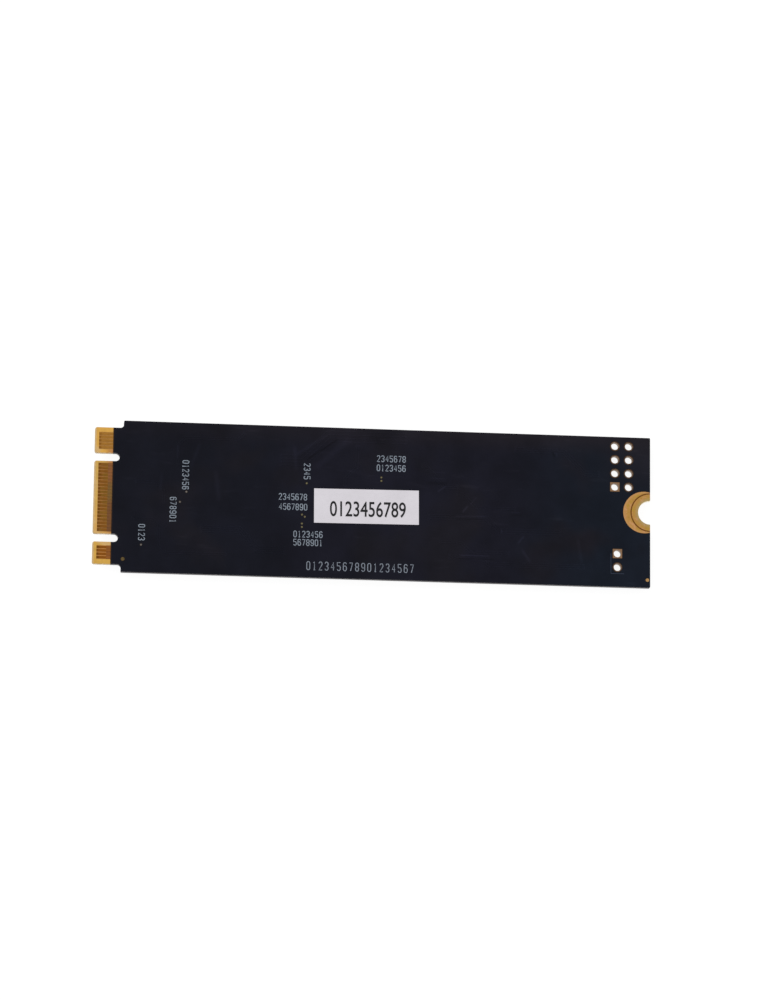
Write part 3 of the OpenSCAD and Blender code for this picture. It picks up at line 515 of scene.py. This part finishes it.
def dull_copper():
    """Bare test points: dull, olive beside the label, greyer towards the connector."""
    finish = Finish("dull_copper", roughness=0.5, metal=1.0)
    olive = srgb(100, 96, 72)
    grey = srgb(98, 94, 90)
    spots = finish.noise(6, detail=3)
    plain = finish.mix(finish.step(finish.x, -24, -14), grey, olive)
    spotted = finish.shade(plain, spots, 0.75, 1.25)
    return finish.done(spotted, finish.spread(spots, 0.4, 0.6), spots, 0.002)


def fiducial_gold():
    """Fiducials: pale gold at the screw end, tarnished brown by the shoulder."""
    finish = Finish("fiducial_gold", roughness=0.42, metal=1.0)
    pale = srgb(160, 126, 82)
    tarnished = srgb(88, 74, 46)
    spots = finish.noise(5, detail=3)
    plain = finish.mix(finish.step(finish.x, -5, 5), tarnished, pale)
    spotted = finish.shade(plain, spots, 0.8, 1.2)
    return finish.done(spotted, finish.spread(spots, 0.36, 0.5), spots, 0.002)


def ink(name, colour, wear=0.75, far_colour=None):
    """Printed ink, thin and broken where the coat below shows through.
    It may turn into another colour by the screw end."""
    finish = Finish(name, roughness=0.6, gloss=0.2)
    plain = colour
    if far_colour:
        plain = finish.mix(finish.step(finish.x, 20, 30), colour, far_colour)
    grain = finish.noise(9, detail=2)
    clouds = finish.noise(0.7, detail=2)
    coloured = finish.shade(finish.shade(plain, grain, wear, 1.08), clouds, 0.88, 1.08)
    return finish.done(coloured, finish.spread(grain, 0.5, 0.7), grain, 0.003)


def label_paper():
    """Matt label paper, faintly cloudy, with a fibre grain and painted shade on its cut edges."""
    finish = Finish("label_paper", roughness=0.62, gloss=0.25)
    white = srgb(216, 212, 218)
    shaded_edge = srgb(150, 147, 150)
    fibres = finish.noise(5, detail=4, stretch=(0.3, 1, 1), turn=12)
    clouds = finish.noise(0.35, detail=2)
    paper = finish.shade(finish.shade(white, fibres, 0.975, 1.02), clouds, 0.975, 1.02)
    # Painted shade: the label's cut edges are painted grey
    coloured = finish.by_facing(shaded_edge, paper)
    return finish.done(coloured, finish.spread(fibres, 0.55, 0.7), fibres, 0.003)


# One of each height of moulded package that has a dimple
PACKAGES = ["flash_package_1", "controller_package", "config_memory_body", "core_regulator"]


def moulded_package(name, colour):
    """Black moulding compound with its fine sparkle of filler and faint flow marks.
    The dimple beside the first pin has a smoother, paler floor."""
    finish = Finish(name, gloss=0.35)
    smooth_floor = srgb(82, 82, 86)
    grain = finish.noise(14, detail=3)
    flow = finish.noise(0.35, detail=3, stretch=(1, 0.4, 1))
    coloured = finish.shade(finish.shade(colour, grain, 0.8, 1.25), flow, 0.85, 1.2)
    dimple = 0.0
    for node in PACKAGES:
        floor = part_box(node)[0].z / MM + DIMPLE_DEPTH
        inside = finish.between(finish.z, floor - 0.01, floor + 0.01, 0.008)
        dimple = finish.maths("MAXIMUM", inside, dimple)
    dimple = finish.times(dimple, finish.step(finish.flatness, 0.8, 0.95))
    coloured = finish.mix(dimple, coloured, smooth_floor)
    rough = finish.times(finish.spread(flow, 0.5, 0.64), finish.step(dimple, 1.6, -0.2))
    return finish.done(coloured, rough, grain, 0.006)


def solder_metal(name, colour, rough=(0.25, 0.45)):
    """Tin, slightly frosted."""
    finish = Finish(name, metal=1.0)
    frost = finish.noise(6, detail=4)
    coloured = finish.shade(colour, frost, 0.85, 1.08)
    return finish.done(coloured, finish.spread(frost, *rough), frost, 0.003)


def ceramic(name, colour, gloss=0.4, rough=(0.4, 0.55)):
    """Fired ceramic with a fine grain."""
    finish = Finish(name, gloss=gloss)
    grain = finish.noise(10, detail=3)
    clouds = finish.noise(1.2, detail=2)
    coloured = finish.shade(finish.shade(colour, grain, 0.88, 1.12), clouds, 0.9, 1.1)
    return finish.done(coloured, finish.spread(grain, *rough), grain, 0.003)


def solids_of(node):
    """Lowest and highest corner of each separate solid of a CAD node, in metres."""
    shape = bmesh.new()
    shape.from_mesh(frame["nodes"][node].data)
    bmesh.ops.remove_doubles(shape, verts=shape.verts, dist=MERGED_WITHIN)
    corners = []
    left = set(shape.verts)
    while left:
        front = [left.pop()]
        low = Vector(front[0].co)
        high = Vector(front[0].co)
        while front:
            vert = front.pop()
            low = Vector(map(min, low, vert.co))
            high = Vector(map(max, high, vert.co))
            for edge in vert.link_edges:
                other = edge.other_vert(vert)
                if other in left:
                    left.remove(other)
                    front.append(other)
        corners.append((low, high))
    shape.free()
    return sorted(corners, key=lambda box: (round(box[0].x, 6), round(box[0].y, 6)))


def only_none():
    """Leaves nothing selected."""
    for thing in bpy.context.view_layer.objects:
        thing.select_set(False)


def only(piece):
    """Selects one piece alone and makes it active."""
    only_none()
    piece.select_set(True)
    bpy.context.view_layer.objects.active = piece


def new_piece(name, mesh):
    """A piece from a mesh or a curve, at the origin, selected and active."""
    piece = bpy.data.objects.new(name, mesh)
    bpy.context.scene.collection.objects.link(piece)
    only(piece)
    return piece


def join(name, pieces):
    """One piece out of several."""
    only(pieces[0])
    for piece in pieces:
        piece.select_set(True)
    bpy.ops.object.join()
    whole = bpy.context.view_layer.objects.active
    whole.name = name
    whole.data.name = name
    return whole


def keep(piece, material, slot, *nodes):
    """Gives a new piece its material, rides it on the card and hides the CAD nodes that it stands in for.
    Its slot is not used.
    """
    piece.data.materials.clear()
    piece.data.materials.append(material)
    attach(piece, "root")
    if nodes:
        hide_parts(*nodes)
    return piece


def corners_of(places):
    """Lowest and highest corner of some places."""
    low = Vector([min(place[i] for place in places) for i in range(3)])
    high = Vector([max(place[i] for place in places) for i in range(3)])
    return low, high


def leave_hollows(piece):
    """Drops the selected edges that don't lie on the piece's outer sides, such as a dimple's rim."""
    shape = bmesh.from_edit_mesh(piece.data)
    corners = corners_of([vert.co for vert in shape.verts])

    def on_side(vert):
        return any(abs(vert.co[i] - corner[i]) < ALIGNED_WITHIN for corner in corners for i in range(2))

    for edge in shape.edges:
        if not all(on_side(vert) for vert in edge.verts):
            edge.select_set(False)
    bmesh.update_edit_mesh(piece.data)


def opened_copy(name, node):
    """A copy of a CAD node in edit mode, its doubles merged and its flat faces made whole."""
    piece = new_piece(name, frame["nodes"][node].data.copy())
    bpy.ops.object.mode_set(mode="EDIT")
    bpy.ops.mesh.select_all(action="SELECT")
    bpy.ops.mesh.remove_doubles(threshold=MERGED_WITHIN)
    bpy.ops.mesh.dissolve_limited(angle_limit=math.radians(1))
    bpy.ops.mesh.select_all(action="DESELECT")
    return piece


def softened(name, node, width, hollows=True):
    """A copy of a CAD node with its sharp corners rounded over, with or without its hollows'."""
    piece = opened_copy(name, node)
    bpy.ops.mesh.edges_select_sharp(sharpness=math.radians(30))
    if not hollows:
        leave_hollows(piece)
    bpy.ops.mesh.bevel(offset=width * MM, segments=2, affect="EDGES", clamp_overlap=True)
    bpy.ops.object.mode_set(mode="OBJECT")
    return piece


def line_work(name, routes, width, height, z):
    """Raised lines along routes of [x, y] places, in millimetres. They stand as high above z
    as they sink below it. A route whose last place is its first is closed."""
    curve = bpy.data.curves.new(name, "CURVE")
    curve.dimensions = "3D"
    curve.twist_mode = "Z_UP"
    curve.bevel_depth = width / 2 * MM
    curve.bevel_resolution = 1
    curve.use_fill_caps = True
    for route in routes:
        closed = route[0] == route[-1]
        places = route[:-1] if closed else route
        spline = curve.splines.new("POLY")
        spline.points.add(len(places) - 1)
        spline.use_cyclic_u = closed
        for point, place in zip(spline.points, places):
            point.co = (place[0] * MM, place[1] * MM, 0, 1)
    piece = new_piece(name, curve)
    bpy.ops.object.convert(target="MESH")
    piece.data.transform(Matrix.Diagonal((1, 1, 2 * height / width, 1)))
    piece.data.transform(Matrix.Translation((0, 0, z * MM)))
    return piece


# Strokes of the figures 0 to 9, on a grid 4 wide and 6 high
GRID_W = 4
GRID_H = 6
FIGURES = [
    [[(1, 0), (3, 0), (4, 1), (4, 5), (3, 6), (1, 6), (0, 5), (0, 1), (1, 0)]],
    [[(1, 5), (2, 6), (2, 0)], [(1, 0), (3, 0)]],
    [[(0, 5), (1, 6), (3, 6), (4, 5), (4, 4), (0, 0), (4, 0)]],
    [[(0, 5), (1, 6), (3, 6), (4, 5), (4, 4), (3, 3), (4, 2), (4, 1), (3, 0), (1, 0), (0, 1)],
     [(1.5, 3), (3, 3)]],
    [[(3, 0), (3, 6), (0, 2), (4, 2)]],
    [[(4, 6), (0, 6), (0, 3.5), (3, 3.5), (4, 2.5), (4, 1), (3, 0), (1, 0), (0, 1)]],
    [[(4, 5), (3, 6), (1, 6), (0, 5), (0, 1), (1, 0), (3, 0), (4, 1), (4, 2.5), (3, 3.5), (0, 3.5)]],
    [[(0, 6), (4, 6), (1.5, 0)]],
    [[(1, 3), (0, 4), (0, 5), (1, 6), (3, 6), (4, 5), (4, 4), (3, 3), (4, 2), (4, 1), (3, 0),
      (1, 0), (0, 1), (0, 2), (1, 3)], [(1, 3), (3, 3)]],
    [[(0, 1), (1, 0), (3, 0), (4, 1), (4, 5), (3, 6), (1, 6), (0, 5), (0, 3.5), (1, 2.5), (4, 2.5)]],
]


def figure_row(middle, length, height, downwards, pitch, slimness, first):
    """Strokes of a row of counting figures that fills a field, in millimetres. Pitch is about
    the distance between two figures, and first is the one that the row starts with."""
    count = round(length / pitch)
    figure_w = height * slimness
    strokes = []
    for place in range(count):
        start = (place + 0.5) * length / count - length / 2 - figure_w / 2
        for stroke in FIGURES[(first + place) % len(FIGURES)]:
            route = []
            for x, y in stroke:
                along = start + x / GRID_W * figure_w
                up = (y / GRID_H - 0.5) * height
                turned = (up, -along) if downwards else (along, up)
                route.append((middle[0] + turned[0], middle[1] + turned[1]))
            strokes.append(route)
    return strokes


# Print on the mask: width of a stroke, distance between figures, width of one over its height
PRINT_STROKE = 0.14
PRINT_STEP = 0.61
PRINT_SLIMNESS = 0.44
LARGE_STROKE = 0.14
LARGE_STEP = 0.87
LARGE_SLIMNESS = 0.38
OUTLINE_STROKE = 0.08

# Half the ink's thickness, and how far its middle lies off the mask
INK_H = 0.01
INK_LIFT = 0.004

# Printed fields wider and higher than the first size are outlines, those longer than the
# second hold the large figures
OUTLINE_FIELD = 1.5
LARGE_FIELD = 8


def printed_figures(material, faint):
    """Fine stroke figures in the printed fields of the back, and the jumper's fainter outline."""
    small = []
    large = []
    outline = []
    for low, high in solids_of("legend_back"):
        middle = ((low + high) / 2 / MM)[:2]
        wide, high_by = ((high - low) / MM)[:2]
        if min(wide, high_by) > OUTLINE_FIELD:
            line = OUTLINE_STROKE / 2
            x0, y0 = low.x / MM + line, low.y / MM + line
            outline.append([(high.x / MM, y0), (x0, y0), (x0, high.y / MM)])
        elif max(wide, high_by) > LARGE_FIELD:
            height = high_by - LARGE_STROKE
            large += figure_row(middle, wide, height, False, LARGE_STEP, LARGE_SLIMNESS, 0)
        else:
            downwards = high_by > wide
            length, height = max(wide, high_by), min(wide, high_by) - PRINT_STROKE
            first = len(small) % 7
            small += figure_row(middle, length, height, downwards, PRINT_STEP, PRINT_SLIMNESS, first)
    z = BACK_Z + INK_LIFT
    small_row = line_work("small_figures", small, PRINT_STROKE, INK_H, z)
    keep(small_row, material, "legend_ink", "legend_back")
    large_row = line_work("large_figures", large, LARGE_STROKE, INK_H, z)
    keep(large_row, faint, "legend_ink")
    corner = line_work("jumper_outline", outline, OUTLINE_STROKE, INK_H, z)
    keep(corner, faint, "legend_ink")


# Label: radius of its corners, turn of its figures in degrees, length and height of their row,
# then half their thickness and how much their strokes are fattened, in the letter's own units
LABEL_CORNER_R = 0.27
LABEL_TURN = 0.6
LABEL_FIGURES_L = 10.9
LABEL_FIGURES_H = 2.25
LABEL_THICK = 0.02
LABEL_FATTER = 0.008


def label_sheet(material):
    """The paper label with its die-cut, rounded corners."""
    sheet = opened_copy("label_sheet", "serial_label")
    shape = bmesh.from_edit_mesh(sheet.data)
    for edge in shape.edges:
        first, second = edge.verts
        edge.select_set((first.co - second.co).xy.length < ALIGNED_WITHIN)
    shape.select_flush_mode()
    bmesh.update_edit_mesh(sheet.data)
    bpy.ops.mesh.bevel(offset=LABEL_CORNER_R * MM, segments=5, affect="EDGES")
    bpy.ops.object.mode_set(mode="OBJECT")
    return keep(sheet, material, "label_paper", "serial_label")


def label_figures(material):
    """Plain counting figures, narrow and black, on the label."""
    low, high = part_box("label_print")
    only_none()
    bpy.ops.object.text_add()
    text = bpy.context.object
    text.data.body = "0123456789"
    text.data.align_x = "CENTER"
    text.data.align_y = "CENTER"
    text.data.extrude = LABEL_THICK
    text.data.bevel_depth = LABEL_FATTER
    text.data.bevel_resolution = 0
    text.data.resolution_u = 6
    bpy.ops.object.convert(target="MESH")
    mesh = text.data
    text_low, text_high = corners_of([vert.co for vert in mesh.vertices])
    size = text_high - text_low
    thick = high.z - low.z
    scale = (LABEL_FIGURES_L * MM / size.x, LABEL_FIGURES_H * MM / size.y, thick / size.z, 1)
    mesh.transform(Matrix.Translation(-(text_low + text_high) / 2))
    mesh.transform(Matrix.Diagonal(scale))
    mesh.transform(Matrix.Rotation(math.radians(LABEL_TURN), 4, "Z"))
    mesh.transform(Matrix.Translation((low + high) / 2))
    text.name = "label_figures"
    return keep(text, material, "label_ink", "label_print")


# Traces below the mask: width of one and half its thickness, then how many run side by side,
# how far apart, and their route
TRACE_W = 0.16
TRACE_H = 0.012
BACK_TRACES = [
    (2, 0.3, [(-28.1, 4.9), (-28.1, 7.7), (-27.0, 8.8), (-19.5, 8.8), (-18.6, 9.7)]),
    (4, 0.5, [(-13.4, 6.0), (-10.2, 6.0), (-6.5, 9.7), (4.6, 9.7)]),
    (3, 0.32, [(7.2, 5.9), (8.0, 5.1), (10.2, 2.9), (12.2, 2.9)]),
    (2, 0.3, [(12.0, 1.9), (12.8, 1.9), (14.8, -0.1), (20.4, -0.1)]),
    (3, 0.34, [(8.0, -1.6), (16.4, -1.6), (18.2, -3.4), (27.0, -3.4)]),
    (2, 0.3, [(9.7, -5.2), (12.6, -5.2), (14.0, -6.6), (19.6, -6.6)]),
    (3, 0.3, [(11.0, -7.4), (15.8, -7.4), (16.7, -8.3), (30.4, -8.3)]),
    (2, 0.32, [(-4.1, 2.4), (-4.1, 3.6), (-2.4, 5.3), (-2.4, 8.4)]),
    (4, 0.3, [(-24.6, -4.4), (-19.2, -4.4), (-16.4, -7.2), (-12.6, -7.2)]),
    (2, 0.3, [(-34.0, 2.2), (-31.2, 2.2), (-30.0, 1.0), (-30.0, -0.8)]),
    (2, 0.3, [(-34.4, -3.2), (-31.6, -3.2), (-30.6, -4.2), (-30.6, -7.0), (-29.6, -8.0),
              (-21.0, -8.0)]),
    (3, 0.32, [(20.4, 8.6), (27.4, 8.6), (30.6, 5.4), (32.6, 5.4)]),
]
FRONT_TRACES = [
    (6, 0.3, [(-23.9, -0.4), (-22.9, -0.4), (-18.4, 4.1), (-17.7, 4.1)]),
    (2, 0.3, [(-33.0, 4.9), (-32.2, 4.1), (-31.4, 3.6)]),
    (3, 0.32, [(-26.4, 4.2), (-26.4, 3.5)]),
    (2, 0.4, [(-24.6, -8.3), (-23.9, -8.3), (-23.2, -7.6), (-22.7, -7.6)]),
    (2, 0.3, [(33.6, 9.0), (34.1, 9.0)]),
    (4, 0.5, [(33.5, 0.6), (36.0, 0.6)]),
    (3, 0.5, [(33.6, -4.6), (34.6, -5.4)]),
]


def beside(route, gap):
    """The route that runs beside another, a gap to its left."""
    ways = [(Vector(b) - Vector(a)).normalized() for a, b in zip(route, route[1:])]
    ways = [ways[0]] + ways + [ways[-1]]
    moved = []
    for place, before, after in zip(route, ways, ways[1:]):
        first = Vector((-before.y, before.x))
        second = Vector((-after.y, after.x))
        shift = (first + second) * gap / (1 + first.dot(second))
        moved.append((place[0] + shift.x, place[1] + shift.y))
    return moved


def traces(bundles):
    """The routes of all the traces in some bundles."""
    routes = []
    for count, gap, route in bundles:
        for index in range(count):
            routes.append(beside(route, (index - (count - 1) / 2) * gap))
    return routes


# Ring over a via: radius to its crest, half its width and half its thickness
VIA_R = 0.13
VIA_RIM = 0.05
VIA_H = 0.016


def vias(name, places, z):
    """Small rings where a plated via lies below the mask."""
    only_none()
    bpy.ops.mesh.primitive_torus_add(
        major_radius=VIA_R * MM, minor_radius=VIA_RIM * MM, major_segments=14, minor_segments=6
    )
    pattern = bpy.context.object
    pattern.data.transform(Matrix.Diagonal((1, 1, VIA_H / VIA_RIM, 1)))
    rings = []
    for x, y in places:
        ring = new_piece("ring", pattern.data.copy())
        ring.data.transform(Matrix.Translation((x * MM, y * MM, z * MM)))
        rings.append(ring)
    bpy.data.objects.remove(pattern)
    return join(name, rings)


def relief(name, bundles, z, material):
    """Traces and vias that show as a faint relief through the mask of one face."""
    routes = traces(bundles)
    ends = [route[0] for route in routes] + [route[-1] for route in routes]
    lines = line_work(name + "_traces", routes, TRACE_W, TRACE_H, z)
    rings = vias(name + "_vias", ends, z)
    return keep(join(name, [lines, rings]), material, "solder_mask")


# Solder: how far a fillet reaches out, how much of the metal end's height it climbs, how deeply
# its outer face is cut away, and the cut's profile
FILLET_REACH = 0.13
FILLET_SHARE = 0.6
FILLET_CUT = 0.94
FILLET_PROFILE = 0.15

# Bodies of the soldered chip parts, with their metal ends
SOLDERED_PARTS = [
    ("bypass_capacitor_bodies", "bypass_capacitor_ends"),
    ("bulk_capacitor_bodies", "bulk_capacitor_ends"),
    ("lane_capacitor_bodies", "lane_capacitor_ends"),
    ("resistor_bodies", "resistor_ends"),
    ("inductor_bodies", "inductor_ends"),
    ("input_fuse_body", "input_fuse_ends"),
]


def fillet_block():
    """A wedge of solder one unit long, wide and high, hollowed on its outer face."""
    only_none()
    bpy.ops.mesh.primitive_cube_add(size=1, location=(0.5, 0, -0.5))
    wedge = bpy.context.object
    bpy.ops.object.transform_apply(location=True)
    bpy.ops.object.mode_set(mode="EDIT")
    shape = bmesh.from_edit_mesh(wedge.data)
    for edge in shape.edges:
        edge.select_set(all(v.co.x > 0.9 and v.co.z < -0.9 for v in edge.verts))
    shape.select_flush_mode()
    bmesh.update_edit_mesh(wedge.data)
    bpy.ops.mesh.bevel(offset=FILLET_CUT, segments=5, profile=FILLET_PROFILE, affect="EDGES")
    bpy.ops.object.mode_set(mode="OBJECT")
    return wedge


def solder_fillets(material):
    """Solder that climbs the metal ends of the chip parts."""
    pattern = fillet_block()
    lands_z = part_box("component_lands")[0].z
    wedges = []
    for body_node, ends_node in SOLDERED_PARTS:
        middles = [(low + high) / 2 for low, high in solids_of(body_node)]
        for low, high in solids_of(ends_node):
            middle = (low + high) / 2
            centre = min(middles, key=lambda place: (place - middle).length)
            away = middle - centre
            along_x = abs(away.x) > abs(away.y)
            half = (high - low) / 2
            width = 2 * (half.y if along_x else half.x)
            reach = half.x if along_x else half.y
            turn = round(math.atan2(away.y, away.x) / (math.pi / 2)) * math.pi / 2
            outward = Vector((math.cos(turn), math.sin(turn), 0))
            foot = Vector((middle.x, middle.y, lands_z)) + outward * reach
            size = (FILLET_REACH * MM, width, (high.z - low.z) * FILLET_SHARE)
            wedge = new_piece("wedge", pattern.data.copy())
            wedge.data.transform(Matrix.Diagonal((*size, 1)))
            wedge.data.transform(Matrix.Rotation(turn, 4, "Z"))
            wedge.data.transform(Matrix.Translation(foot))
            wedges.append(wedge)
    bpy.data.objects.remove(pattern)
    return keep(join("solder_fillets", wedges), material, "solder")


# Outlines printed round the parts of the front: CAD node, room round it, length of each leg
OUTLINED = [
    ("flash_package_1", 0.25, 1.6),
    ("flash_package_2", 0.25, 1.6),
    ("flash_package_3", 0.25, 1.6),
    ("flash_package_4", 0.25, 1.6),
    ("controller_package", 0.25, 1.2),
    ("config_memory_body", 0.45, 0.8),
    ("crystal_base", 0.22, 0.6),
    ("core_regulator", 0.3, 0.4),
    ("memory_regulator", 0.3, 0.4),
    ("interface_regulator", 0.3, 0.4),
]


def front_outlines(material):
    """Printed corners round the larger parts of the front."""
    routes = []
    for node, room, leg in OUTLINED:
        low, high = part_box(node)
        middle = (low + high) / 2 / MM
        half = (high - low) / 2 / MM
        for side_x in (-1, 1):
            for side_y in (-1, 1):
                x = middle.x + side_x * (half.x + room)
                y = middle.y + side_y * (half.y + room)
                routes.append([(x - side_x * leg, y), (x, y), (x, y - side_y * leg)])
    piece = line_work("front_outlines", routes, OUTLINE_STROKE, INK_H, FRONT_Z - INK_LIFT)
    return keep(piece, material, "legend_ink")


# Chip parts whose corners are rounded over: CAD node, width of the rounding, finish, slot
ROUNDED = [
    ("bypass_capacitor_bodies", 0.03, "capacitor", "capacitor"),
    ("bypass_capacitor_ends", 0.04, "solder", "solder"),
    ("bulk_capacitor_bodies", 0.04, "capacitor", "capacitor"),
    ("bulk_capacitor_ends", 0.05, "solder", "solder"),
    ("lane_capacitor_bodies", 0.03, "capacitor", "capacitor"),
    ("lane_capacitor_ends", 0.04, "solder", "solder"),
    ("inductor_bodies", 0.08, "inductor", "inductor"),
    ("inductor_ends", 0.05, "solder", "solder"),
    ("crystal_lid", 0.06, "lid", "crystal_lid"),
    ("crystal_base", 0.05, "dark_ceramic", "ceramic_dark"),
    ("resistor_bodies", 0.025, "resistor", "resistor"),
    ("resistor_ends", 0.03, "solder", "solder"),
    ("input_fuse_body", 0.05, "fuse", "fuse"),
    ("input_fuse_ends", 0.05, "solder", "solder"),
    ("load_switch_leads", 0.03, "solder", "solder"),
    ("surge_diode_leads", 0.03, "solder", "solder"),
    ("mount_ring", 0.015, "ring", "ring_gold"),
]

# Moulded packages, whose dimples keep their sharp rims: CAD node and width of the rounding
MOULDED = [
    ("flash_package_1", 0.05),
    ("flash_package_2", 0.05),
    ("flash_package_3", 0.05),
    ("flash_package_4", 0.05),
    ("controller_package", 0.05),
    ("config_memory_body", 0.04),
    ("core_regulator", 0.03),
    ("memory_regulator", 0.03),
    ("interface_regulator", 0.03),
    ("load_switch_body", 0.04),
    ("surge_diode_body", 0.04),
]


def rounded_parts(finishes):
    """Copies of the CAD nodes on the two lists, with their corners rounded over."""
    for node, width, finish, slot in ROUNDED:
        piece = softened(node + "_rounded", node, width)
        keep(piece, finishes[finish], slot, node)
    for node, width in MOULDED:
        piece = softened(node + "_rounded", node, width, hollows=False)
        keep(piece, finishes["package"], "package", node)


def make_finishes():
    """Every material of the part, by a short name."""
    return {
        "back_mask": solder_mask("back_mask"),
        "back_relief": solder_mask("back_relief", lift=1.25),
        "laminate": laminate(),
        "contact": contact_gold(),
        "ring": ring_gold(),
        "hole": hole_plating(),
        "legend": ink("legend_ink", srgb(146, 156, 168), wear=0.55),
        "faint": ink("faint_ink", srgb(138, 146, 158), 0.6, srgb(58, 66, 86)),
        "test": dull_copper(),
        "dots": fiducial_gold(),
        "label": label_paper(),
        "label_ink": ink("label_ink", srgb(22, 22, 24), wear=0.9),
        "package": moulded_package("package", srgb(38, 38, 41)),
        "solder": solder_metal("solder", (0.66, 0.67, 0.69, 1)),
        "dark_ceramic": ceramic("dark_ceramic", srgb(62, 54, 50)),
        "lid": solder_metal("crystal_lid", (0.62, 0.6, 0.55, 1), (0.3, 0.4)),
        "capacitor": ceramic("capacitor", srgb(150, 124, 98)),
        "resistor": ceramic("resistor", srgb(26, 26, 28), gloss=0.6, rough=(0.2, 0.35)),
        "fuse": ceramic("fuse", srgb(214, 214, 204)),
        "inductor": ceramic("inductor", srgb(78, 76, 74), gloss=0.3, rough=(0.55, 0.7)),
    }


# Starts of the names of the CAD nodes that take each finish
NODE_FINISHES = {
    "laminate": ["board_laminate"],
    "back_mask": ["solder_mask"],
    "contact": ["edge_contacts"],
    "ring": ["mount_ring", "ground_crescent"],
    "hole": ["header_sleeves", "jumper_sleeves"],
    "test": ["test_points"],
    "dots": ["fiducials"],
    "legend": ["legend"],
    "label": ["serial_label"],
    "label_ink": ["label_print"],
    "package": [
        "controller_package", "flash_package", "config_memory_body", "core_regulator", "memory_regulator",
        "interface_regulator", "load_switch_body", "surge_diode_body",
    ],
    "solder": [
        "component_lands", "controller_balls", "flash_balls", "config_memory_pads", "crystal_pads",
        "regulator_pads", "inductor_ends", "load_switch_leads", "surge_diode_leads", "input_fuse_ends",
        "bulk_capacitor_ends", "bypass_capacitor_ends", "lane_capacitor_ends", "resistor_ends",
    ],
    "dark_ceramic": ["crystal_base"],
    "lid": ["crystal_lid"],
    "inductor": ["inductor_bodies"],
    "fuse": ["input_fuse_body"],
    "capacitor": ["bulk_capacitor_bodies", "bypass_capacitor_bodies", "lane_capacitor_bodies"],
    "resistor": ["resistor_bodies"],
}


def dress_nodes(finishes):
    """Every CAD node gets its finish in place of its plain colour."""
    finish_of = {start: finish for finish, starts in NODE_FINISHES.items() for start in starts}
    for name, thing in frame["nodes"].items():
        start = next(start for start in finish_of if name.startswith(start))
        for slot in thing.material_slots:
            slot.link = "OBJECT"
            slot.material = finishes[finish_of[start]]


def make_world():
    """Even light all round, which the camera sees as white."""
    world = bpy.data.worlds.new("studio")
    bpy.context.scene.world = world
    nodes = Nodes(world)
    seen, _ = nodes.rays()
    strength = nodes.add("MapRange", {"Value": seen, "To Min": WORLD_SHARE, "To Max": 1.0})
    background = nodes.tree.nodes["Background"]
    nodes.feed(background.inputs["Strength"], strength.outputs[0])
    nodes.feed(background.inputs["Color"], (1, 1, 1, 1))


def make_floor():
    """Pale floor that shows white and keeps the shadow, and can be looked through from below."""
    only_none()
    bpy.ops.mesh.primitive_plane_add(size=FLOOR_SIZE, location=(0, 0, -FLOOR_DROP * MM))
    floor = bpy.context.object
    floor.name = "studio_floor"
    material = bpy.data.materials.new("studio_floor")
    nodes = Nodes(material)
    nodes.tree.nodes.remove(nodes.tree.nodes["Principled BSDF"])
    seen, shadow = nodes.rays()
    matt = nodes.add("BsdfDiffuse", {"Color": FLOOR_COLOUR}).outputs[0]
    glow = nodes.add("Emission", {"Strength": nodes.times(seen, FLOOR_LIFT)}).outputs[0]
    white = nodes.add("AddShader", {0: matt, 1: glow}).outputs[0]
    from_below = nodes.add("NewGeometry").outputs["Backfacing"]
    clear = nodes.add("BsdfTransparent").outputs[0]
    open_to = nodes.maths("MAXIMUM", from_below, shadow)
    choice = nodes.add("MixShader", {0: open_to, 1: white, 2: clear}).outputs[0]
    nodes.feed(nodes.tree.nodes["Material Output"].inputs["Surface"], choice)
    floor.data.materials.append(material)


def make_lamp(name, place, size, share):
    """A soft square lamp aimed at the card, bright enough to bring out a share of its colours."""
    lamp = bpy.data.lights.new(name, "AREA")
    lamp.size = size
    holder = bpy.data.objects.new(name, lamp)
    bpy.context.scene.collection.objects.link(holder)
    place = Vector(place)
    holder.location = place
    holder.rotation_euler = place.to_track_quat("Z", "Y").to_euler()
    slant = abs(place.normalized().z)
    lamp.energy = share * math.pi ** 2 * place.length_squared / slant
    holder.visible_camera = False


def make_camera():
    """Camera at the photograph's place, looking as the photograph does."""
    lens = bpy.data.cameras.new("photo_camera")
    lens.lens = CAMERA_LENS
    lens.sensor_width = CAMERA_SENSOR
    camera = bpy.data.objects.new("photo_camera", lens)
    bpy.context.scene.collection.objects.link(camera)
    about_x, about_y, about_z = (
        Matrix.Rotation(math.radians(angle), 4, axis) for angle, axis in zip(CAMERA_TURN, "XYZ")
    )
    turn = (about_x @ about_y @ about_z).transposed()
    camera.matrix_world = Matrix.Translation(Vector(CAMERA_PLACE) * MM) @ turn
    lens.clip_start = 0.01
    lens.clip_end = 20
    bpy.context.scene.camera = camera


make_camera()
make_world()
make_floor()
make_lamp("key_lamp", KEY_PLACE, KEY_SIZE, KEY_SHARE)
make_lamp("under_lamp", UNDER_PLACE, UNDER_SIZE, UNDER_SHARE)
bpy.context.scene.view_settings.view_transform = "Standard"

finishes = make_finishes()
dress_nodes(finishes)
printed_figures(finishes["legend"], finishes["faint"])
label_sheet(finishes["label"])
label_figures(finishes["label_ink"])
rounded_parts(finishes)
relief("back_relief", BACK_TRACES, BACK_Z, finishes["back_relief"])
relief("front_relief", FRONT_TRACES, FRONT_Z, finishes["back_relief"])
solder_fillets(finishes["solder"])
front_outlines(finishes["legend"])
